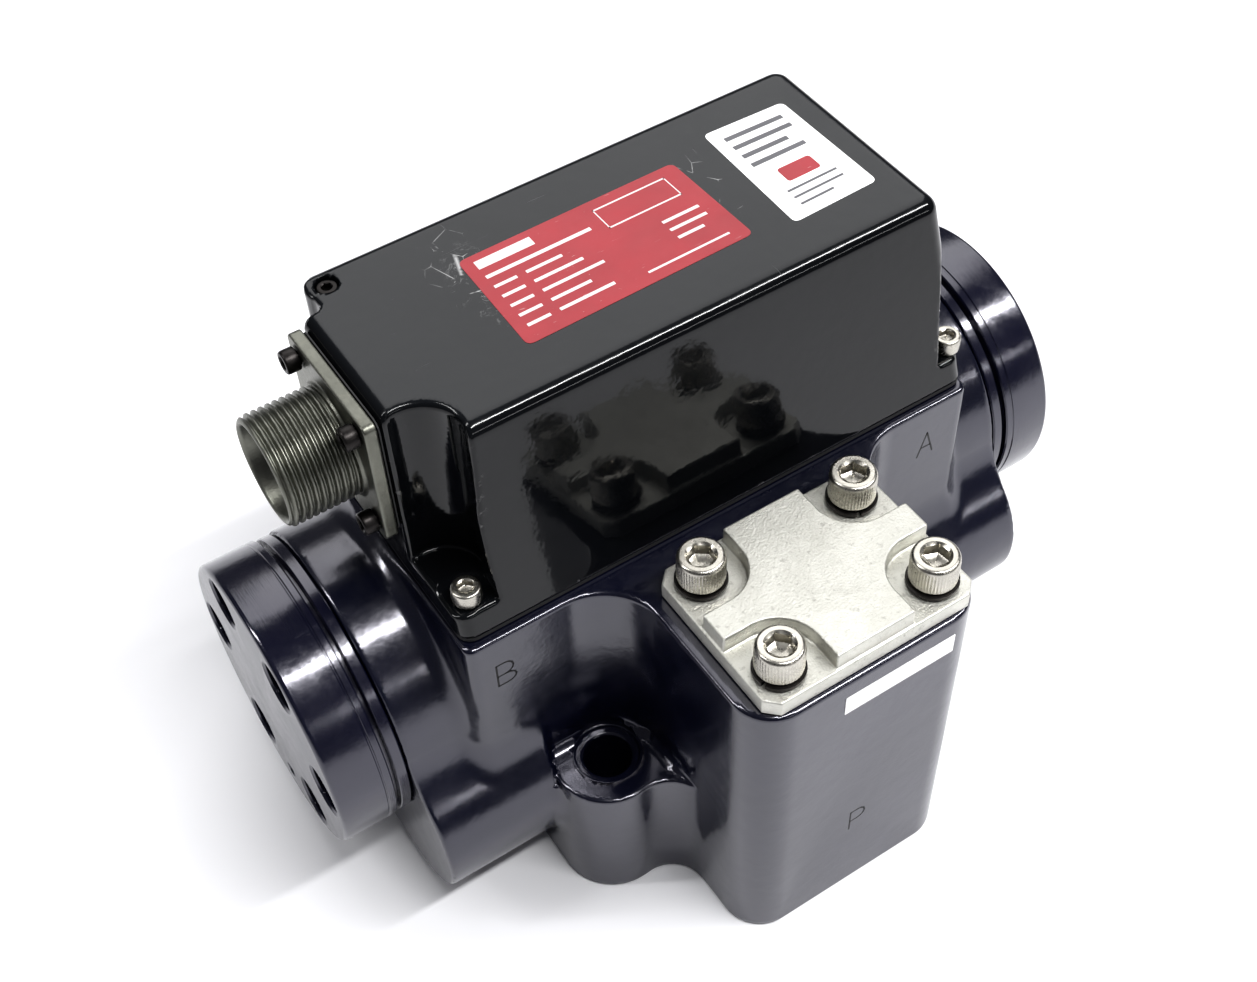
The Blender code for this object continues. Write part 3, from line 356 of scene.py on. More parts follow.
# ---------------------------------------------------------------- distance-field solids
def q(*a):
    return [np.asarray(v, np.float32) for v in a]


def rrect(u, v, cu, cv, hu, hv, r):
    du = np.abs(u - cu) - (hu - r)
    dv = np.abs(v - cv) - (hv - r)
    return np.minimum(np.maximum(du, dv), 0) + np.sqrt(np.maximum(du, 0) ** 2 + np.maximum(dv, 0) ** 2) - r


def circ(u, v, cu, cv, r):
    return np.sqrt((u - cu) ** 2 + (v - cv) ** 2) - r


def ext(d, w, w0, w1, r=0.0):
    dw = np.abs(w - (w0 + w1) / 2) - (w1 - w0) / 2
    if r <= 0:
        return np.maximum(d, dw)
    a, b = d + r, dw + r
    return np.minimum(np.maximum(a, b), 0) + np.sqrt(np.maximum(a, 0) ** 2 + np.maximum(b, 0) ** 2) - r


def join(a, b, r=0.0):
    if isinstance(r, float) and r <= 0:
        return np.minimum(a, b)
    return np.maximum(r, np.minimum(a, b)) - np.sqrt(np.maximum(r - a, 0) ** 2 + np.maximum(r - b, 0) ** 2)


def cut(a, b, r=0.0):
    b = -b
    if r <= 0:
        return np.maximum(a, b)
    return np.minimum(-r, np.maximum(a, b)) + np.sqrt(np.maximum(r + a, 0) ** 2 + np.maximum(r + b, 0) ** 2)


def poly(u, v, pts):
    u, v = np.broadcast_arrays(u, v)
    d = np.full(u.shape, 1e9, np.float32)
    inside = np.zeros(u.shape, bool)
    m = len(pts)
    for i in range(m):
        ax, ay = pts[i - 1]
        bx, by = pts[i]
        ex, ey = bx - ax, by - ay
        wx, wy = u - ax, v - ay
        t = np.clip((wx * ex + wy * ey) / (ex * ex + ey * ey), 0, 1)
        d = np.minimum(d, (wx - ex * t) ** 2 + (wy - ey * t) ** 2)
        if by != ay:
            hit = ((ay > v) != (by > v)) & (u < ex * (v - ay) / ey + ax)
            inside ^= hit
    d = np.sqrt(d)
    return np.where(inside, -d, d)


def surface(name, f, lo, hi, step, mat, bevel_band=None):
    """Closed mesh of f = 0 by surface nets, each vertex then moved onto the surface."""
    step = np.array([step] * 3 if not hasattr(step, "__len__") else step, float)
    lo, hi = np.array(lo, float) - 1.73 * step, np.array(hi, float) + 1.61 * step
    n = np.ceil((hi - lo) / step).astype(int) + 1
    ax = [lo[i] + step[i] * np.arange(n[i]) for i in range(3)]
    X, Y, Z = q(ax[0][:, None, None], ax[1][None, :, None], ax[2][None, None, :])
    V = np.ascontiguousarray(np.broadcast_to(f(X, Y, Z), tuple(n)), dtype=np.float32)
    S = V < 0
    cell = np.zeros(tuple(n - 1), np.int8)
    for dx in (0, 1):
        for dy in (0, 1):
            for dz in (0, 1):
                cell += S[dx:n[0] - 1 + dx, dy:n[1] - 1 + dy, dz:n[2] - 1 + dz]
    act = (cell > 0) & (cell < 8)
    idx = np.full(act.shape, -1, np.int64)
    cells = np.argwhere(act)
    idx[act] = np.arange(len(cells))
    acc = np.zeros((len(cells), 3))
    cnt = np.zeros(len(cells))
    ci, cj, ck = cells.T
    for a, b in [((0, 0, 0), (1, 0, 0)), ((0, 1, 0), (1, 1, 0)), ((0, 0, 1), (1, 0, 1)), ((0, 1, 1), (1, 1, 1)),
                 ((0, 0, 0), (0, 1, 0)), ((1, 0, 0), (1, 1, 0)), ((0, 0, 1), (0, 1, 1)), ((1, 0, 1), (1, 1, 1)),
                 ((0, 0, 0), (0, 0, 1)), ((1, 0, 0), (1, 0, 1)), ((0, 1, 0), (0, 1, 1)), ((1, 1, 0), (1, 1, 1))]:
        va = V[ci + a[0], cj + a[1], ck + a[2]]
        vb = V[ci + b[0], cj + b[1], ck + b[2]]
        on = (va < 0) != (vb < 0)
        t = np.where(on, va / np.where(on, va - vb, 1), 0)
        p = np.array(a)[None] + t[:, None] * (np.array(b) - np.array(a))[None]
        acc += np.where(on[:, None], p, 0)
        cnt += on
    P = lo + (cells + acc / cnt[:, None]) * step
    # quads round every crossed grid edge
    faces = []
    for axis in range(3):
        o = [1, 1, 1]
        o[axis] = 0
        sl0 = [slice(o[i], n[i] - 1) for i in range(3)]
        sl1 = [slice(o[i], n[i] - 1) for i in range(3)]
        sl1[axis] = slice(1, n[axis])
        s0, s1 = S[tuple(sl0)], S[tuple(sl1)]
        for flip, m in ((False, s0 & ~s1), (True, ~s0 & s1)):
            e = np.argwhere(m) + np.array(o)
            u, w = [(1, 2), (2, 0), (0, 1)][axis]
            du, dw = np.zeros(3, int), np.zeros(3, int)
            du[u], dw[w] = 1, 1
            quad = [e - du - dw, e - dw, e, e - du]
            quad = np.stack([idx[tuple(k.T)] for k in quad], 1)
            faces.append(quad if not flip else quad[:, ::-1])
    F = np.concatenate(faces)
    F = F[(F >= 0).all(1)]

    def grad(P, e=0.02):
        g = np.empty_like(P)
        for i in range(3):
            d = np.zeros(3)
            d[i] = e
            g[:, i] = (f(*(P + d).T) - f(*(P - d).T)) / (2 * e)
        return g
    cap = step.max() * 0.6
    P0 = P.copy()
    for _ in range(4):
        g = grad(P)
        g2 = np.maximum((g * g).sum(1), 0.05)
        move = -(f(*P.T) / g2)[:, None] * g
        L = np.linalg.norm(move, axis=1, keepdims=True)
        P = P + move * np.minimum(1, cap / np.maximum(L, 1e-9))
    off = P - P0
    L = np.linalg.norm(off, axis=1, keepdims=True)
    P = P0 + off * np.minimum(1, 1.2 * step.max() / np.maximum(L, 1e-9))
    g = grad(P, 0.05)
    nrm = g / np.maximum(np.linalg.norm(g, axis=1, keepdims=True), 1e-9)
    me = bpy.data.meshes.new(name)
    me.vertices.add(len(P))
    me.vertices.foreach_set("co", (P * MM).astype(np.float32).ravel())
    me.loops.add(F.size)
    me.loops.foreach_set("vertex_index", F.astype(np.int32).ravel())
    me.polygons.add(len(F))
    me.polygons.foreach_set("loop_start", np.arange(0, F.size, 4, dtype=np.int32))
    me.polygons.foreach_set("use_smooth", np.ones(len(F), bool))
    me.update(calc_edges=True)
    me.validate()
    me.normals_split_custom_set_from_vertices(nrm.astype(np.float32))
    # how convex each point is, for wear along edges
    probe = 0.9
    curve = np.clip((f(*(P - nrm * probe).T) + probe) / probe * 2.2, 0, 1)
    at = me.attributes.new("edge", "FLOAT", "POINT")
    at.data.foreach_set("value", curve.astype(np.float32))
    ob = bpy.data.objects.new(name, me)
    bpy.context.scene.collection.objects.link(ob)
    me.materials.append(mat)
    print("surface", name, len(P), len(F))
    return ob


# ---------------------------------------------------------------- turned pieces
def lathe(name, profile, segs, mat, origin=(0, 0, 0), axis="z", flip=False, sharp=32.0, helix=None):
    """profile: (radius or function of the angle array, height) from one end on the axis to the other."""
    th = np.arange(segs) * 2 * math.pi / segs
    rings, verts, faces = [], [], []
    for r, z in profile:
        rr = r(th) if callable(r) else np.full(segs, float(r))
        zz = z(th) if callable(z) else np.full(segs, float(z))
        if rr.max() < 1e-6:
            rings.append([len(verts)])
            verts.append((0.0, 0.0, float(zz[0])))
        else:
            base = len(verts)
            verts += list(zip((rr * np.cos(th)).tolist(), (rr * np.sin(th)).tolist(), zz.tolist()))
            rings.append(list(range(base, base + segs)))
    for a, b in zip(rings[:-1], rings[1:]):
        for i in range(segs):
            j = (i + 1) % segs
            if len(a) == 1:
                faces.append((a[0], b[j], b[i]))
            elif len(b) == 1:
                faces.append((a[i], a[j], b[0]))
            else:
                faces.append((a[i], a[j], b[j], b[i]))
    m = {"z": Matrix.Identity(4), "x": Matrix(((0, 0, 1, 0), (1, 0, 0, 0), (0, 1, 0, 0), (0, 0, 0, 1)))}[axis]
    if flip:
        m = m @ Matrix.Rotation(math.pi, 4, "X")
    m = Matrix.Translation(Vector(origin)) @ m
    me = bpy.data.meshes.new(name)
    me.from_pydata([tuple((m @ Vector(v)) * MM) for v in verts], [], faces)
    ob = bpy.data.objects.new(name, me)
    bpy.context.scene.collection.objects.link(ob)
    me.materials.append(mat)
    tidy(ob, sharp)
    return ob


def tidy(ob, sharp=32.0):
    me = ob.data
    bm = bmesh.new()
    bm.from_mesh(me)
    bmesh.ops.recalc_face_normals(bm, faces=bm.faces)
    for f in bm.faces:
        f.smooth = True
    for e in bm.edges:
        e.smooth = not (len(e.link_faces) == 2 and e.calc_face_angle(0) > math.radians(sharp))
    bm.to_mesh(me)
    bm.free()


def merged(name, obs):
    bm = bmesh.new()
    for o in obs:
        bm.from_mesh(o.data)
    me = bpy.data.meshes.new(name)
    bm.to_mesh(me)
    bm.free()
    for mt in obs[0].data.materials:
        me.materials.append(mt)
    for o in obs:
        bpy.data.objects.remove(o)
    ob = bpy.data.objects.new(name, me)
    bpy.context.scene.collection.objects.link(ob)
    return ob


def quarter(r0, z0, r1, z1, n=4, convex=True):
    """Rounded corner between two profile points, in (r, z)."""
    out = []
    for i in range(n + 1):
        t = i / n * math.pi / 2
        if convex:
            out.append((r0 + (r1 - r0) * math.sin(t), z0 + (z1 - z0) * (1 - math.cos(t))))
        else:
            out.append((r0 + (r1 - r0) * (1 - math.cos(t)), z0 + (z1 - z0) * math.sin(t)))
    return out


def place(ob, body, slot, *nodes):
    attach(ob, body)
    if nodes:
        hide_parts(*nodes)
    return ob


# ---------------------------------------------------------------- valve body
EAR = (36.5, 42.86)


def body_f(x, y, z):
    # barrel on its two foot lobes
    sec = join(circ(y, z, 0, SPOOL_Z, 32.0), rrect(y, z, 0, 26.4, 43.8, 20.3, 20.3), 6.5)
    sec = ext(sec, x, -HALF_X, HALF_X, 0.9)
    # the lobes are milled flat beside the ears
    sec = cut(sec, ext(rrect(x, np.abs(y), 0, 60.0, 47.8, 26.0, 1.6), z, 35.8, 64.0), 0.8)
    # panel under the cover, with the filter block in front
    panel = rrect(x, y, 0, 0, 60.7, 35.2, 2.2)
    front = BLOCK_Y + 0.12
    block = rrect(x, y, 1.0, (front - 20) / 2, 27.0, (-20 - front) / 2, 9.0)
    plan = join(panel, block, 13.0)
    upper = ext(plan, z, 30.0, BODY_TOP, 0.9)
    d = join(sec, upper, 4.6)
    # foot plate and the lower block
    ears = None
    for sx in (-1, 1):
        for sy in (-1, 1):
            ex, ey = sx * EAR[0], sy * EAR[1]
            yy = np.where(sy * y < EAR[1], np.minimum(EAR[1] - sy * y, 22.0), EAR[1] - sy * y)
            e = np.sqrt((x - ex) ** 2 + np.where(sy * y < EAR[1] - 22.0, sy * y - (EAR[1] - 22.0),
                                                 np.where(sy * y > EAR[1], sy * y - EAR[1], 0.0)) ** 2) - 12.0
            if sy < 0:
                side = 28.0 if sx > 0 else -26.0
                r = 8.0
                fx = side + sx * r
                dx = abs(ex - fx)
                dy = math.sqrt((12.0 + r) ** 2 - dx * dx)
                fy = ey - dy
                t1 = (fx + (ex - fx) * r / (12 + r), fy + (ey - fy) * r / (12 + r))
                w = poly(x, y, [(ex, ey), t1, (fx, fy), (side, fy), (side - sx * 4, fy), (side - sx * 4, ey)])
                e = np.minimum(e, np.maximum(w, r - np.sqrt((x - fx) ** 2 + (y - fy) ** 2)))
            ears = e if ears is None else np.minimum(ears, e)
    foot = np.minimum(ears, rrect(x, y, 0, 0, 48.4, 38.0, 2.0))
    low = ext(foot, z, 0.0, 35.8, 0.75)
    side = join(sec, low, 2.6 * np.clip((block - 8.0) / 5.0, 0.0, 1.0))
    d = np.minimum(d, np.maximum(side, z - 34.2))
    shelf = rrect(x, y, 0, 0, 48.4, 41.3, 1.0)
    top = np.minimum(low, ext(shelf, z, 31.0, 35.8, 0.7))
    d = np.minimum(d, join(top, upper, 3.4 * np.clip(-np.minimum(foot, shelf) / 3.0, 0.0, 1.0)))
    d = np.minimum(d, ext(block, z, 0.0, BODY_TOP, 0.9))
    # wrench clearance over the ears
    for sx in (-1, 1):
        for sy in (-1, 1):
            rho = circ(x, y, sx * EAR[0], sy * EAR[1], 0.0)
            d = cut(d, ext(rho - 7.0, z, -4.0, 46.0))
    # spool bore and cap counterbores
    rho = circ(y, z, 0, SPOOL_Z, 0.0)
    d = np.maximum(d, 12.5 - rho)
    for s in (-1, 1):
        d = cut(d, ext(rho - 19.3, x * s, HALF_X - 7.3, HALF_X + 4))
        for k in range(6):
            a = math.radians(60 * k)
            t = circ(y, z, 24.6 * math.cos(a), SPOOL_Z + 24.6 * math.sin(a), 2.95)
            d = cut(d, ext(t, x * s, HALF_X - 12.5, HALF_X + 4))
    # ports with seal recesses
    for px, py, top in ((25.4, 0, SPOOL_Z - 8), (-25.4, 0, SPOOL_Z - 8), (0, 25.4, 20.0), (0, -25.4, 20.0)):
        rho = circ(x, y, px, py, 0.0)
        d = cut(d, ext(rho - 7.9, z, -4.0, top), 0.2)
        d = cut(d, ext(rho - 10.6, z, -4.0, 1.9), 0.2)
    # pilot chamber, filter bore and tapped holes
    d = cut(d, ext(rrect(x, y, 0, 0, 6.0, 4.2, 4.0), z, SPOOL_Z, BODY_TOP + 4))
    d = cut(d, ext(circ(x, y, 1.4, -60.4, 11.0), z, 14.0, BODY_TOP + 4), 0.4)
    for sx in (-1, 1):
        for sy in (-1, 1):
            d = cut(d, ext(circ(x, y, 1.4 + sx * 17.8, -60.4 + sy * 12.3, 3.4), z, 62.0, BODY_TOP + 4))
            d = cut(d, ext(circ(x, y, 1.4 + sx * 57.2, sy * 28.7, 1.0), z, 70.0, BODY_TOP + 4))
    for sx in (-1, 1):
        d = cut(d, ext(circ(x, y, sx * 17.0, 0, 2.0), z, 72.0, BODY_TOP + 4))
    return d


H_BODY = 0.9
body = surface("body_casting", body_f, B_LO, B_HI, (H_BODY * 1.1, H_BODY, H_BODY), M_BODY)
place(body, "valve", "valve_body", "valve_body")
for k, (sx, sy) in enumerate(((-1, -1), (1, -1), (-1, 1), (1, 1))):
    seat = [(5.15, 0.5), (5.55, 0.05), (7.4, 0.05), (7.4, 35.82), (7.3, 35.86), (7.0, 35.86), (6.84, 35.76), (6.74, 35.55), (6.70, 35.05), (6.60, 34.92),
            (5.65, 34.90), (5.45, 34.84), (5.15, 34.5), (5.15, 0.5)]
    b = lathe("bolt_seat_%d" % (k + 1), seat, 96, M_BODY, (sx * EAR[0], sy * EAR[1], 0), "z", False, 40)
    bmx = bmesh.new()
    bmx.from_mesh(b.data)
    bmesh.ops.remove_doubles(bmx, verts=bmx.verts, dist=1e-7)
    bmx.to_mesh(b.data)
    bmx.free()
    tidy(b, 40)
    place(b, "valve", "valve_body")


# ---------------------------------------------------------------- motor cover
SCREWS = [(1.4 + sx * 57.2, sy * 28.7, sx, sy) for sy in (-1, 1) for sx in (-1, 1)]


def arc_pts(cx, cy, r, a0, a1, n):
    return [(cx + r * math.cos(math.radians(a0 + (a1 - a0) * i / n)),
             cy + r * math.sin(math.radians(a0 + (a1 - a0) * i / n))) for i in range(n + 1)]


BACK_RELIEF = ([(-66.0, 15.7), (-57.6, 15.7)] + arc_pts(-57.6, 17.3, 1.6, -90, -20, 4)
               + arc_pts(-52.5, 21.2, 4.3, 212, 118, 12) + [(-53.7, 32.0), (-66.0, 32.0)])


def cover_f(x, y, z):
    z0, z1 = 82.5, COVER_TOP
    lv = (z - z0) / 45.5
    left = -60.2 - 0.3 * lv
    right = 60.9 - 6.3 * lv
    hy = 33.5 - 7.6 * lv
    cx, hx = (left + right) / 2, (right - left) / 2
    r = 3.4
    du = np.abs(x - cx) - (hx - r)
    dv = np.abs(y) - (hy - r)
    plan = np.minimum(np.maximum(du, dv), 0) + np.sqrt(np.maximum(du, 0) ** 2 + np.maximum(dv, 0) ** 2) - r
    plan = plan * 0.986
    d = ext(plan, z, z0 - 12, z1, 2.6)
    # corner pockets over the fixing screws
    for px, py, sx, sy in SCREWS:
        t = np.clip((z - 88.4) / 30.6, -0.2, 1.05)
        cone = np.sqrt((x - px + sx * 1.2 * t) ** 2 + (y - py + sy * 0.6 * t) ** 2) - (5.6 - 4.2 * t)
        cone = ext(cone, z, 88.4, 119.0, 0.6)
        box = np.maximum(np.maximum(px * sx + 0.9 - x * sx, py * sy + 0.9 - y * sy), np.maximum(88.4 - z, z - 112.0))
        d = cut(d, join(cone, box, 0.8), 1.1)
    # reliefs beside the connector flange
    d = cut(d, ext(circ(x, y, -57.3, -22.6, 8.2), z, 88.4, z1 + 4, 0.6), 1.3)
    d = cut(d, ext(poly(x, y, BACK_RELIEF), z, 96.0, z1 + 4, 0.4), 0.7)
    d = cut(d, ext(plan * 0 - 1, z, 60.0, z0), 0.25)
    # hollow, connector opening and small holes
    lv2 = (z - z0) / 41.5
    hy2 = 28.5 - 7.0 * lv2
    r2, l2 = 55.5 - 5.0 * lv2, -46.0
    cx2, hx2 = (r2 + l2) / 2, (r2 - l2) / 2
    rr = 12.0
    du = np.abs(x - cx2) - (hx2 - rr)
    dv = np.abs(y) - (hy2 - rr)
    inner = np.minimum(np.maximum(du, dv), 0) + np.sqrt(np.maximum(du, 0) ** 2 + np.maximum(dv, 0) ** 2) - rr
    d = cut(d, ext(inner, z, z0 - 8, 124.0, 1.5))
    d = cut(d, ext(circ(y, z, 0, 111.9, 10.0), x, -72, -44))
    d = cut(d, ext(circ(x, y, -52.5, 21.2, 2.35), z, 125.0, z1 + 4), 0.3)
    for px, py, sx, sy in SCREWS:
        d = cut(d, ext(circ(x, y, px, py, 1.95), z, 78.0, 92.0))
    for sy in (-1, 1):
        for sz in (-1, 1):
            d = cut(d, ext(circ(y, z, sy * 11.5, 111.9 + sz * 11.5, 1.3), x, -66, -55))
    return d


H_COVER = 0.72
cover = surface("motor_cover_shell", cover_f, C_LO, C_HI, H_COVER, M_PAINT)
place(cover, "valve", "cover", "motor_cover")


# ---------------------------------------------------------------- filter plate
P_LO, P_HI = mm_box("filter_cover")
FCX, FCY = 1.4, -60.4
FBX, FBY = 17.8, 12.3


def plate_f(x, y, z):
    oct_pts = []
    for sx, sy in ((1, 1), (-1, 1), (-1, -1), (1, -1)):
        run = [(FCX + sx * 24.3, FCY + sy * 16.1), (FCX + sx * 21.7, FCY + sy * 18.7)]
        oct_pts += run if sx * sy > 0 else run[::-1]
    low = ext(poly(x, y, oct_pts), z, P_LO[2], 85.2, 0.35)
    top = rrect(x, y, FCX, FCY, 23.7, 18.0, 0.4)
    for sx in (-1, 1):
        for sy in (-1, 1):
            bx, by = FCX + sx * FBX, FCY + sy * FBY
            c = circ(x, y, bx, by, 8.9)
            cor = np.maximum(bx * sx - x * sx, by * sy - y * sy)
            bandx = np.maximum(np.abs(y - by) - 8.9, (bx - x) * sx)
            bandy = np.maximum(np.abs(x - bx) - 8.9, (by - y) * sy)
            notch = np.minimum(np.minimum(c, cor), np.minimum(bandx, bandy))
            top = np.maximum(top, -notch)
    d = join(low, ext(top, z, 84.0, P_HI[2], 0.35), 0.35)
    for sx in (-1, 1):
        for sy in (-1, 1):
            d = cut(d, ext(circ(x, y, FCX + sx * FBX, FCY + sy * FBY, 3.4), z, 78.0, 92.0))
    return d


plate = surface("filter_plate", plate_f, P_LO, P_HI, 0.42, M_PLATE)
place(plate, "valve", "plate", "filter_cover")


# ---------------------------------------------------------------- end caps
def build_cap(side):
    s = -1 if side == "left" else 1
    name = "end_cap_" + side
    x1 = max(abs(mm_box(name)[0][0]), abs(mm_box(name)[1][0]))
    x0 = 75.8

    def f(x, y, z):
        rho = circ(y, z, 0, SPOOL_Z, 0.0)
        u = x * s
        d = ext(rho - 31.7, u, x0, x0 + 6.0, 0.35)
        d = np.minimum(d, ext(rho - 32.0, u, x0 + 3.5, x1, 0.95))
        d = cut(d, np.maximum(29.8 - rho, np.maximum(x0 + 2.4 - u, u - x0 - 3.5)), 0.2)
        d = np.minimum(d, ext(rho - 18.6, u, x0 - 6.4, x0 + 1.0, 0.3))
        d = cut(d, np.maximum(16.6 - rho, np.maximum(x0 - 4.6 - u, u - x0 + 1.9)))
        # scribed line
        d = cut(d, np.sqrt((rho - 32.1) ** 2 + (u - x0 - 5.3) ** 2) - 0.32)
        for k in range(6):
            a = math.radians(60 * k)
            c = circ(y, z, 24.6 * math.cos(a), SPOOL_Z + 24.6 * math.sin(a), 0.0)
            d = cut(d, ext(c - 5.4, u, x1 - 8.2, x1 + 4), 0.45)
            d = cut(d, ext(c - 3.2, u, x0 - 9, x1 + 4))
        d = cut(d, ext(circ(y, z, 0, SPOOL_Z - 25.2, 1.6), u, x1 - 5, x1 + 4), 0.25)
        return d
    return f


def cap_piece(side):
    """Turned cap as a lathe mesh with drilled face: the ring outline is exact, the holes are cut by the mesh."""
    s = -1 if side == "left" else 1
    name = "end_cap_" + side
    x1 = max(abs(mm_box(name)[0][0]), abs(mm_box(name)[1][0]))
    x0 = 75.8
    prof = [(0, x0 - 6.4), (18.2, x0 - 6.4), (18.6, x0 - 6.0), (18.6, x0 - 4.6), (16.6, x0 - 4.6), (16.6, x0 - 1.9),
            (18.6, x0 - 1.9), (18.6, x0), (31.4, x0), (31.7, x0 + 0.3), (31.7, x0 + 2.2), (31.5, x0 + 2.4), (29.9, x0 + 2.4),
            (29.8, x0 + 2.5), (29.8, x0 + 3.4), (29.9, x0 + 3.5), (31.7, x0 + 3.5), (32.0, x0 + 3.8),
            (32.0, x0 + 5.0), (31.8, x0 + 5.2), (31.8, x0 + 5.45), (32.0, x0 + 5.65)]
    prof += [(32.0 - 1.1 * (1 - math.cos(t)), x1 - 1.1 + 1.1 * math.sin(t)) for t in [math.radians(15 * i) for i in range(7)]]
    prof += [(0, x1)]
    ob = lathe(name + "_turned", prof, 144, M_CAP)
    bpy.context.view_layer.update()
    cutters = []
    holes = [(24.6, 60 * k, 5.4, x1 - 8.2, 0.5) for k in range(6)] + [(24.6, 60 * k, 3.2, x0 - 9, 0.0) for k in range(6)]
    holes += [(25.2, -90.0, 1.6, x1 - 5.0, 0.3)]
    for rad, ang, r, depth, ch in holes:
        a = math.radians(ang)
        p = [(0, depth), (r, depth), (r, x1 - ch), (r + ch + 0.4, x1 + 0.4), (r + ch + 0.4, x1 + 3), (0, x1 + 3)]
        if ch == 0:
            p = [(0, depth), (r, depth), (r, x1 + 2), (0, x1 + 2)]
        cutters.append(lathe("cutter", p, 48, M_CAP, (rad * math.cos(a), rad * math.sin(a), 0)))
    for c in cutters:
        md = ob.modifiers.new("c", "BOOLEAN")
        md.operation, md.solver, md.object = "DIFFERENCE", "EXACT", c
    dg = bpy.context.evaluated_depsgraph_get()
    me = bpy.data.meshes.new_from_object(ob.evaluated_get(dg))
    ob.modifiers.clear()
    ob.data = me
    for c in cutters:
        bpy.data.objects.remove(c)
    m = Matrix(((0, 0, s, 0), (1, 0, 0, 0), (0, 1, 0, SPOOL_Z * MM), (0, 0, 0, 1)))
    me.transform(m)
    tidy(ob, 24.0)
    return place(ob, "valve", "cap", name)


for side in ("left", "right"):
    cap_piece(side)


# ---------------------------------------------------------------- screws
def hex_r(across, phase=0.0):
    def r(th):
        t = (th + phase + math.pi / 6) % (math.pi / 3) - math.pi / 6
        return across / 2 / np.cos(t)
    return r


def knurl(r, depth, teeth):
    def f(th):
        return r - depth * (0.5 - 0.5 * np.cos(th * teeth)) ** 0.8
    return f


def socket_head(name, head_r, head_h, shank_r, shank_l, across, centre, mat, slot_name, node,
                axis="z", flip=False, teeth=0, spin=0.0, segs=144, dots=False):
    c = head_r * 0.10
    hx = hex_r(across, spin)
    cr = across / 2 / math.cos(math.pi / 6)
    k = (lambda r: knurl(r, head_r * 0.030, teeth)) if teeth else (lambda r: r)
    prof = [(0, -shank_l), (shank_r * 0.86, -shank_l), (shank_r, -shank_l + 0.3 * shank_r), (shank_r, -0.01),
            (head_r * 0.93, 0.0), (head_r * 0.985, c * 0.5)]
    prof += [(head_r * 0.985, c * 0.9), (k(head_r), c * 1.5), (k(head_r), head_h - 2.6 * c),
             (head_r * 0.985, head_h - 2.0 * c)]
    for i in range(1, 6):
        t = math.radians(18 * i)
        prof.append((head_r * 0.985 - 1.7 * c * (1 - math.cos(t)), head_h - 2.0 * c + 2.0 * c * math.sin(t)))
    prof += [(cr * 1.10, head_h), (cr * 1.02, head_h - 0.03 * head_h),
             (lambda th: np.minimum(hx(th), cr * 0.995), head_h - 0.075 * head_h)]
    deep = head_h * 0.46
    prof += [(hx, head_h - deep), (lambda th: hx(th) * 0.80, head_h - deep - 0.04 * head_h), (0, head_h - deep - 0.14 * head_h)]
    ob = lathe(name, prof, segs, mat, centre, axis, flip, 28.0)
    return place(ob, "valve", slot_name, node)


def top_of(node):
    lo, hi = mm_box(node)
    return (lo + hi) / 2, lo, hi


for i in range(1, 5):
    mid, lo, hi = top_of("filter_screw_%d" % i)
    socket_head("filter_bolt_%d" % i, 4.76, 6.35, 3.0, hi[2] - 6.35 - lo[2], 4.9, (mid[0], mid[1], hi[2] - 6.35), M_STEEL,
                "steel", "filter_screw_%d" % i, teeth=48, spin=(0.3, 0.9, 0.12, 0.62)[i - 1], segs=288)
    mid, lo, hi = top_of("cover_screw_%d" % i)
    hr = (hi[0] - lo[0]) / 2
    socket_head("cover_bolt_%d" % i, hr, 3.4, 1.6, hi[2] - 3.4 - lo[2], 2.9, (mid[0], mid[1], hi[2] - 3.4), M_STEEL,
                "steel", "cover_screw_%d" % i, spin=0.35 * i)
    mid, lo, hi = top_of("connector_screw_%d" % i)
    hr = (hi[2] - lo[2]) / 2
    socket_head("connector_bolt_%d" % i, hr, 2.8, 1.15, hi[0] - lo[0] - 2.8, 2.3, (lo[0] + 2.8, mid[1], mid[2]), M_DARK,
                "dark_steel", "connector_screw_%d" % i, axis="x", flip=True, spin=0.4 * i, segs=96)
    # split spring washer
    mid, lo, hi = top_of("lock_washer_%d" % i)
    a0 = (200, 320, 60, 250)[i - 1]
    prof2 = [(3.6, 0.05), (5.0, 0.05), (5.15, 0.2), (5.15, 1.0), (5.0, 1.15), (3.6, 1.15)]
    vs, fs = [], []
    nn = 64
    for j in range(nn + 1):
        t = math.radians(a0 + 5 + 350 * j / nn)
        dz = -0.05 + 0.12 * j / nn
        for r, z in prof2:
            vs.append(((mid[0] + r * math.cos(t)) * MM, (mid[1] + r * math.sin(t)) * MM, (lo[2] + z + dz) * MM))
    p = len(prof2)
    for j in range(nn):
        for k2 in range(p):
            a, b = j * p + k2, j * p + (k2 + 1) % p
            fs.append((a, b, b + p, a + p))
    fs.append(tuple(range(p)))
    fs.append(tuple(nn * p + k2 for k2 in reversed(range(p))))
    me = bpy.data.meshes.new("w")
    me.from_pydata(vs, [], fs)
    w = bpy.data.objects.new("spring_washer_%d" % i, me)
    bpy.context.scene.collection.objects.link(w)
    me.materials.append(M_DARK)
    tidy(w, 30)
    place(w, "valve", "dark_steel", "lock_washer_%d" % i)

for side, s in (("left", -1), ("right", 1)):
    for k in range(1, 7):
        node = "cap_screw_%s_%d" % (side, k)
        mid, lo, hi = top_of(node)
        hx_, base = (lo[0], lo[0] + 6.0) if s < 0 else (hi[0], hi[0] - 6.0)
        socket_head("cap_bolt_%s_%d" % (side, k), 4.75, 6.0, 2.6, 17.0, 4.8, (base, mid[1], mid[2]), M_DARK,
                    "dark_steel", node, axis="x", flip=s < 0, spin=0.37 * k, segs=96)


# ---------------------------------------------------------------- connector
K_LO, K_HI = mm_box("connector_shell")
CONN_Z = 111.9
FX0 = -61.4


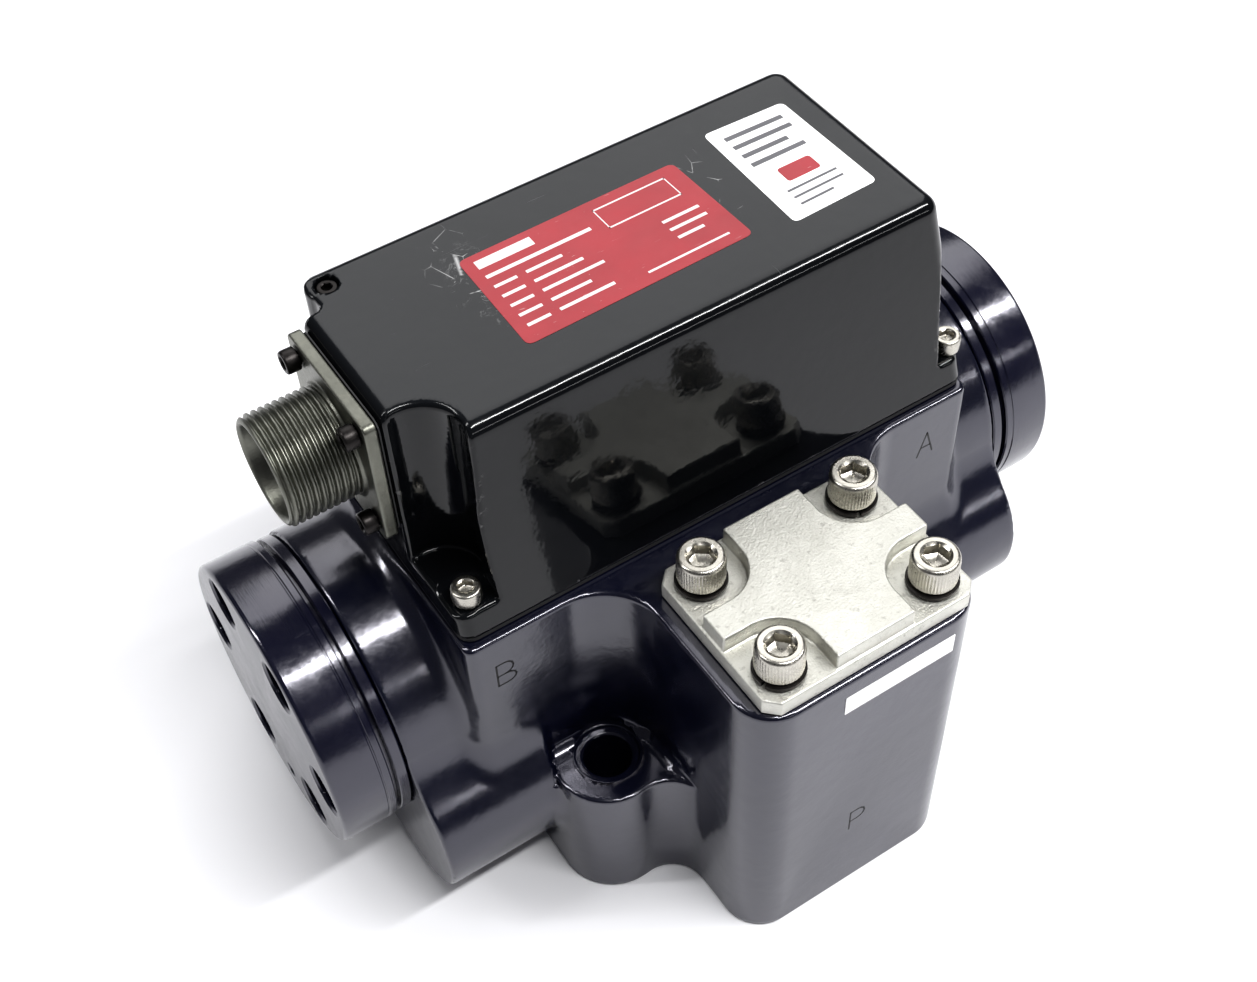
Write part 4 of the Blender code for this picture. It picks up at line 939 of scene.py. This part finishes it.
def flange_f(x, y, z):
    plan = rrect(y, z, 0, CONN_Z, 15.1, 15.1, 1.6)
    d = ext(plan, x, FX0 - 2.6, FX0, 0.35)
    d = join(d, ext(circ(y, z, 0, CONN_Z, 11.3), x, FX0 - 3.3, FX0, 0.3), 0.6)
    d = cut(d, ext(circ(y, z, 0, CONN_Z, 10.4), x, -80, -40))
    for sy in (-1, 1):
        for sz in (-1, 1):
            d = cut(d, ext(circ(y, z, sy * 11.5, CONN_Z + sz * 11.5, 1.55), x, -80, -40), 0.25)
    return d


flange = surface("flange", flange_f, (FX0 - 3.3, -15.1, CONN_Z - 15.1), (FX0, 15.1, CONN_Z + 15.1),
                 0.36, M_CONN)
pitch = 1.41
rim = K_LO[0]
segs = 120


def thread(u):
    """radius along the barrel, u mm back from the rim, for each angle"""
    def f(th):
        ph = ((u - pitch * th / (2 * math.pi)) / pitch) % 1.0
        tri = 1 - np.abs(2 * ph - 1)
        h = np.clip((tri - 0.16) / 0.62, 0, 1)
        fade = min(max((u - 0.25) / 0.7, 0), 1) * min(max((14.4 - u) / 0.9, 0), 1)
        return 10.35 + 0.75 * h * fade + 0.25 * (1 - fade)
    return f


prof = [(9.3, 9.0)]
prof += [(9.2, 0.75), (9.75, 0.12), (10.0, 0.0), (10.2, 0.03), (10.45, 0.2)]
u = 0.3
while u < 14.6:
    prof.append((thread(u), u))
    u += 0.094
prof += [(10.55, 14.8), (10.5, 15.0), (10.5, K_HI[0] - rim), (9.3, K_HI[0] - rim), (9.3, 9.0)]
prof = [(r, -z if not callable(z) else z) for r, z in prof]
shell = lathe("shell", [(r, rim - z) if False else (r, z) for r, z in prof], segs, M_CONN, (rim, 0, CONN_Z), "x", True, 40.0)
shell.data.flip_normals()
tidy(shell, 50.0)
conn = merged("connector_receptacle", [flange, shell])
for p_ in conn.data.polygons:
    p_.use_smooth = True
place(conn, "valve", "connector", "connector_shell")

I_LO, I_HI = mm_box("connector_insert")
face_x = -68.5
parts = [lathe("ins", [(0, 12.0), (8.85, 12.0), (8.85, 0.35), (8.5, 0.0), (7.4, 0.0), (7.3, 0.25), (6.9, 0.25), (6.8, 0.0), (0, 0.0)],
               72, M_INSERT, (face_x, 0, CONN_Z), "x", False, 30)]
insert = merged("contact_insert", parts)
place(insert, "valve", "insert", "connector_insert")
pins = []
for k in range(4):
    a = math.radians(45 + 90 * k)
    pins.append(lathe("pin", [(0, -6.6), (0.45, -6.5), (0.72, -6.1), (0.8, -5.7), (0.8, 1.0), (0, 1.0)], 24, M_STEEL,
                      (face_x, 4.4 * math.cos(a), CONN_Z + 4.4 * math.sin(a)), "x", False, 30))
pins = merged("contact_pins", pins)
place(pins, "valve", "steel")

# ---------------------------------------------------------------- plug in the cover
mid, lo, hi = top_of("cover_plug")
pr = (hi[0] - lo[0]) / 2
plug = lathe("vent_plug", [(0, -1.2), (pr, -1.2), (pr, 1.3)] + [(pr - 0.35 * (1 - math.cos(math.radians(t))), 1.3 + 0.35 * math.sin(math.radians(t))) for t in (30, 60, 90)]
             + [(1.15, 1.65), (hex_r(1.9), 1.5), (hex_r(1.9), 0.4), (0, 0.3)], 72, M_DARK, (mid[0], mid[1], COVER_TOP - 2.4), "z", False, 30)
place(plug, "valve", "dark_steel", "cover_plug")


# ---------------------------------------------------------------- labels
def slab(name, outline, z0, z1, mat, rc=1.2, axis="z"):
    pts = []
    m = len(outline)
    for i in range(m):
        p0, p1, p2 = (np.array(outline[j % m], float) for j in (i - 1, i, i + 1))
        a, b = (p0 - p1) / np.linalg.norm(p0 - p1), (p2 - p1) / np.linalg.norm(p2 - p1)
        for t in np.linspace(0, 1, 6):
            s0, s1 = p1 + a * rc, p1 + b * rc
            pts.append((1 - t) ** 2 * s0 + 2 * t * (1 - t) * p1 + t * t * s1)
    vs, fs = [], []
    k = len(pts)
    for z in (z0, z1):
        for p in pts:
            v = (p[0], p[1], z) if axis == "z" else (p[0], z, p[1])
            vs.append(tuple(c * MM for c in v))
    fs.append(tuple(range(k)))
    fs.append(tuple(range(2 * k - 1, k - 1, -1)))
    for i in range(k):
        fs.append((i, (i + 1) % k, k + (i + 1) % k, k + i))
    me = bpy.data.meshes.new(name)
    me.from_pydata(vs, [], fs)
    me.materials.append(mat)
    ob = bpy.data.objects.new(name, me)
    bpy.context.scene.collection.objects.link(ob)
    tidy(ob, 20)
    return ob


def in_quad(quad, u, v):
    tl, tr, br, bl = (np.array(p, float) for p in quad)
    return (1 - v) * ((1 - u) * tl + u * tr) + v * ((1 - u) * bl + u * br)


def bars(name, quad, rects, z0, z1, mat, axis="z", rc=0.12):
    obs = []
    for u0, v0, u1, v1 in rects:
        o = [in_quad(quad, u, v) for u, v in ((u0, v1), (u1, v1), (u1, v0), (u0, v0))]
        obs.append(slab("b", o, z0, z1, mat, rc, axis))
    return merged(name, obs)


ZL = COVER_TOP
RED = [(-29.8, 12.1), (18.8, 12.6), (19.8, -13.2), (-30.3, -14.2)]
WHITE = [(28.6, 16.1), (47.5, 15.5), (48.0, -14.5), (27.9, -15.2)]
place(slab("label_large", RED[::-1], ZL - 0.05, ZL + 0.07, M_RED, 1.6), "valve", "cover")
rects = [(0.05, 0.07, 0.30, 0.16), (0.05, 0.24, 0.52, 0.275)]
for i, w in enumerate((0.20, 0.27, 0.34, 0.22, 0.30)):
    v = 0.36 + 0.115 * i
    rects += [(0.05, v, 0.15, v + 0.03), (0.19, v, 0.19 + w * 0.8, v + 0.03)]
rects += [(0.58, 0.10, 0.92, 0.115), (0.58, 0.10, 0.585, 0.34), (0.915, 0.10, 0.92, 0.34), (0.58, 0.325, 0.92, 0.34)]
rects += [(0.76, 0.50, 0.93, 0.53), (0.76, 0.60, 0.93, 0.63), (0.76, 0.70, 0.88, 0.73), (0.56, 0.88, 0.93, 0.90)]
place(bars("label_large_print", RED, rects, ZL + 0.065, ZL + 0.10, M_PRINT), "valve", "cover")
place(slab("label_small", WHITE[::-1], ZL - 0.05, ZL + 0.07, M_WHITE, 1.4), "valve", "cover")
rects = [(0.14, 0.10, 0.86, 0.14), (0.14, 0.20, 0.86, 0.24), (0.14, 0.30, 0.70, 0.34), (0.14, 0.40, 0.80, 0.44),
         (0.20, 0.74, 0.80, 0.76), (0.20, 0.81, 0.80, 0.83), (0.20, 0.88, 0.60, 0.90)]
place(bars("label_small_print", WHITE, rects, ZL + 0.065, ZL + 0.10, M_PRINT2), "valve", "cover")
place(bars("label_small_block", WHITE, [(0.30, 0.54, 0.70, 0.68)], ZL + 0.065, ZL + 0.10, M_RED, rc=0.8), "valve", "cover")

# blank strip on the front of the filter block
YF = BLOCK_Y
strip = slab("label_strip", [(-6.1, 70.9), (19.9, 70.9), (19.9, 76.3), (-6.1, 76.3)][::-1], YF + 0.01, YF + 0.3, M_WHITE, 0.25, "y")
place(strip, "valve", "cover")
YF += 0.12


def stroke(pts, width, y, depth=0.12):
    """A stamped line on a face that looks to the front, as a thin closed ribbon."""
    obs = []
    for (x0, z0), (x1, z1) in zip(pts[:-1], pts[1:]):
        d = np.array([x1 - x0, z1 - z0])
        d = d / np.linalg.norm(d)
        nrm = np.array([-d[1], d[0]]) * width / 2
        a0, a1 = np.array([x0, z0]) - d * width * 0.3, np.array([x1, z1]) + d * width * 0.3
        obs.append(slab("m", [tuple(a0 - nrm), tuple(a1 - nrm), tuple(a1 + nrm), tuple(a0 + nrm)][::-1], y - 0.012, y + depth, M_MARK, width * 0.25, "y"))
    return obs


def port_mark(name, kind, x, z, h, y):
    w = h * 0.62
    if kind == "A":
        lines = [[(x - w / 2, z), (x, z + h), (x + w / 2, z)], [(x - w * 0.28, z + h * 0.36), (x + w * 0.28, z + h * 0.36)]]
    else:
        top = [(x - w / 2 + w * 0.45 + w * 0.45 * math.cos(math.radians(t)), z + h * 0.73 + h * 0.27 * math.sin(math.radians(t))) for t in range(90, -91, -30)]
        lines = [[(x - w / 2, z), (x - w / 2, z + h)], [(x - w / 2, z + h)] + top + [(x - w / 2, z + h * 0.46)]]
        if kind == "B":
            lo_ = [(x - w / 2 + w * 0.5 + w * 0.5 * math.cos(math.radians(t)), z + h * 0.23 + h * 0.23 * math.sin(math.radians(t))) for t in range(90, -91, -30)]
            lines.append(lo_ + [(x - w / 2, z)])
    obs = []
    for l in lines:
        obs += stroke(l, 0.42, y)
    return place(merged(name, obs), "valve", "valve_body")


port_mark("port_mark_1", "B", -53.0, 66.5, 6.6, -35.2)
port_mark("port_mark_2", "A", 50.5, 66.5, 6.6, -35.2)
port_mark("port_mark_3", "P", 1.0, 23.0, 6.6, YF)

# ---------------------------------------------------------------- stand-alone nodes that keep their shape
KEEP = {
    M_RUBBER: ["cap_oring_left", "cap_oring_right", "cover_gasket", "connector_gasket", "filter_oring",
               "port_oring_a", "port_oring_b", "port_oring_p", "port_oring_t"],
    M_HARD: ["bushing_sleeve", "spool", "flexure_tube", "feedback_wire", "nozzle_left", "nozzle_right"],
    M_POLE: ["pole_piece_lower", "pole_piece_upper", "armature"],
    M_MAGNET: ["magnet_front", "magnet_back"],
    M_COIL: ["coil_left", "coil_right"],
    M_SINTER: ["filter_element"],
    M_ALLOY: ["pilot_base"],
}
for mt, names in KEEP.items():
    for nm in names:
        o = NODES[nm]
        o.data.materials.clear()
        o.data.materials.append(mt)

# ---------------------------------------------------------------- floor, light, camera
fl = bpy.data.meshes.new("floor")
fl.from_pydata([(-4, -4, 0), (4, -4, 0), (4, 4, 0), (-4, 4, 0)], [], [(0, 1, 2, 3)])
floor = bpy.data.objects.new("floor", fl)
bpy.context.scene.collection.objects.link(floor)
floor.location.z = BOX0[0][2] - 0.00005 if hasattr(BOX0[0], "__len__") else 0
mf, nt, bs = new_mat("floor_white")
bs.inputs["Base Color"].default_value = (0.93, 0.93, 0.95, 1)
bs.inputs["Roughness"].default_value = 0.55
fl.materials.append(mf)

world = bpy.data.worlds.new("studio")
bpy.context.scene.world = world
world.use_nodes = True
bg = world.node_tree.nodes["Background"]
bg.inputs["Color"].default_value = (0.93, 0.93, 1.0, 1)
bg.inputs["Strength"].default_value = 0.10


def softbox(name, target, direction, dist, sx, sy, power, color=(1, 1, 1), along=None):
    d = Vector(direction).normalized()
    l = bpy.data.lights.new(name, "AREA")
    l.shape = "RECTANGLE"
    l.size, l.size_y = sx, sy
    l.energy = power
    l.color = color
    o = bpy.data.objects.new(name, l)
    bpy.context.scene.collection.objects.link(o)
    o.location = Vector(target) + d * dist
    if along is None:
        o.rotation_euler = (-d).to_track_quat("-Z", "Y").to_euler()
    else:
        ux = (Vector(along) - Vector(along).dot(d) * d).normalized()
        uy = d.cross(ux)
        o.rotation_euler = Matrix(((ux.x, uy.x, d.x), (ux.y, uy.y, d.y), (ux.z, uy.z, d.z))).to_euler()
    return o


T = (0, -0.02, 0.06)
softbox("key", T, (0.336, -0.40, 0.86), 1.2, 1.3, 0.065, 17, along=(1, 0, 0))
softbox("fill_back", T, (0.34, 0.55, 0.77), 1.25, 1.25, 1.0, 8.0)
softbox("strip_left", T, (-0.62, 0.30, 0.73), 1.2, 0.07, 0.8, 4.2)
softbox("low_front", T, (0.336, -0.86, 0.42), 1.3, 1.0, 0.03, 1.2, along=(1, 0, 0))

R = [[0.83630656, -0.54724737, -0.0333415], [-0.44295833, -0.63859231, -0.62927559], [0.32307779, 0.5410362, -0.77646672]]
CAM = (-0.1307, -0.2122, 0.3458)
cam = bpy.data.cameras.new("camera")
co = bpy.data.objects.new("camera", cam)
bpy.context.scene.collection.objects.link(co)
co.matrix_world = Matrix(((R[0][0], -R[1][0], -R[2][0], CAM[0]), (R[0][1], -R[1][1], -R[2][1], CAM[1]),
                          (R[0][2], -R[1][2], -R[2][2], CAM[2]), (0, 0, 0, 1)))
cam.sensor_width = 36
cam.lens = 36 * 1738.62 / 1257
cam.shift_x = -(624.44 - 1257 / 2) / 1257
cam.shift_y = (535.77 - 982 / 2) / 1257
cam.clip_start = 0.01
bpy.context.scene.camera = co

bpy.context.scene.view_settings.view_transform = "Standard"
bpy.context.scene.view_settings.look = "Medium High Contrast"

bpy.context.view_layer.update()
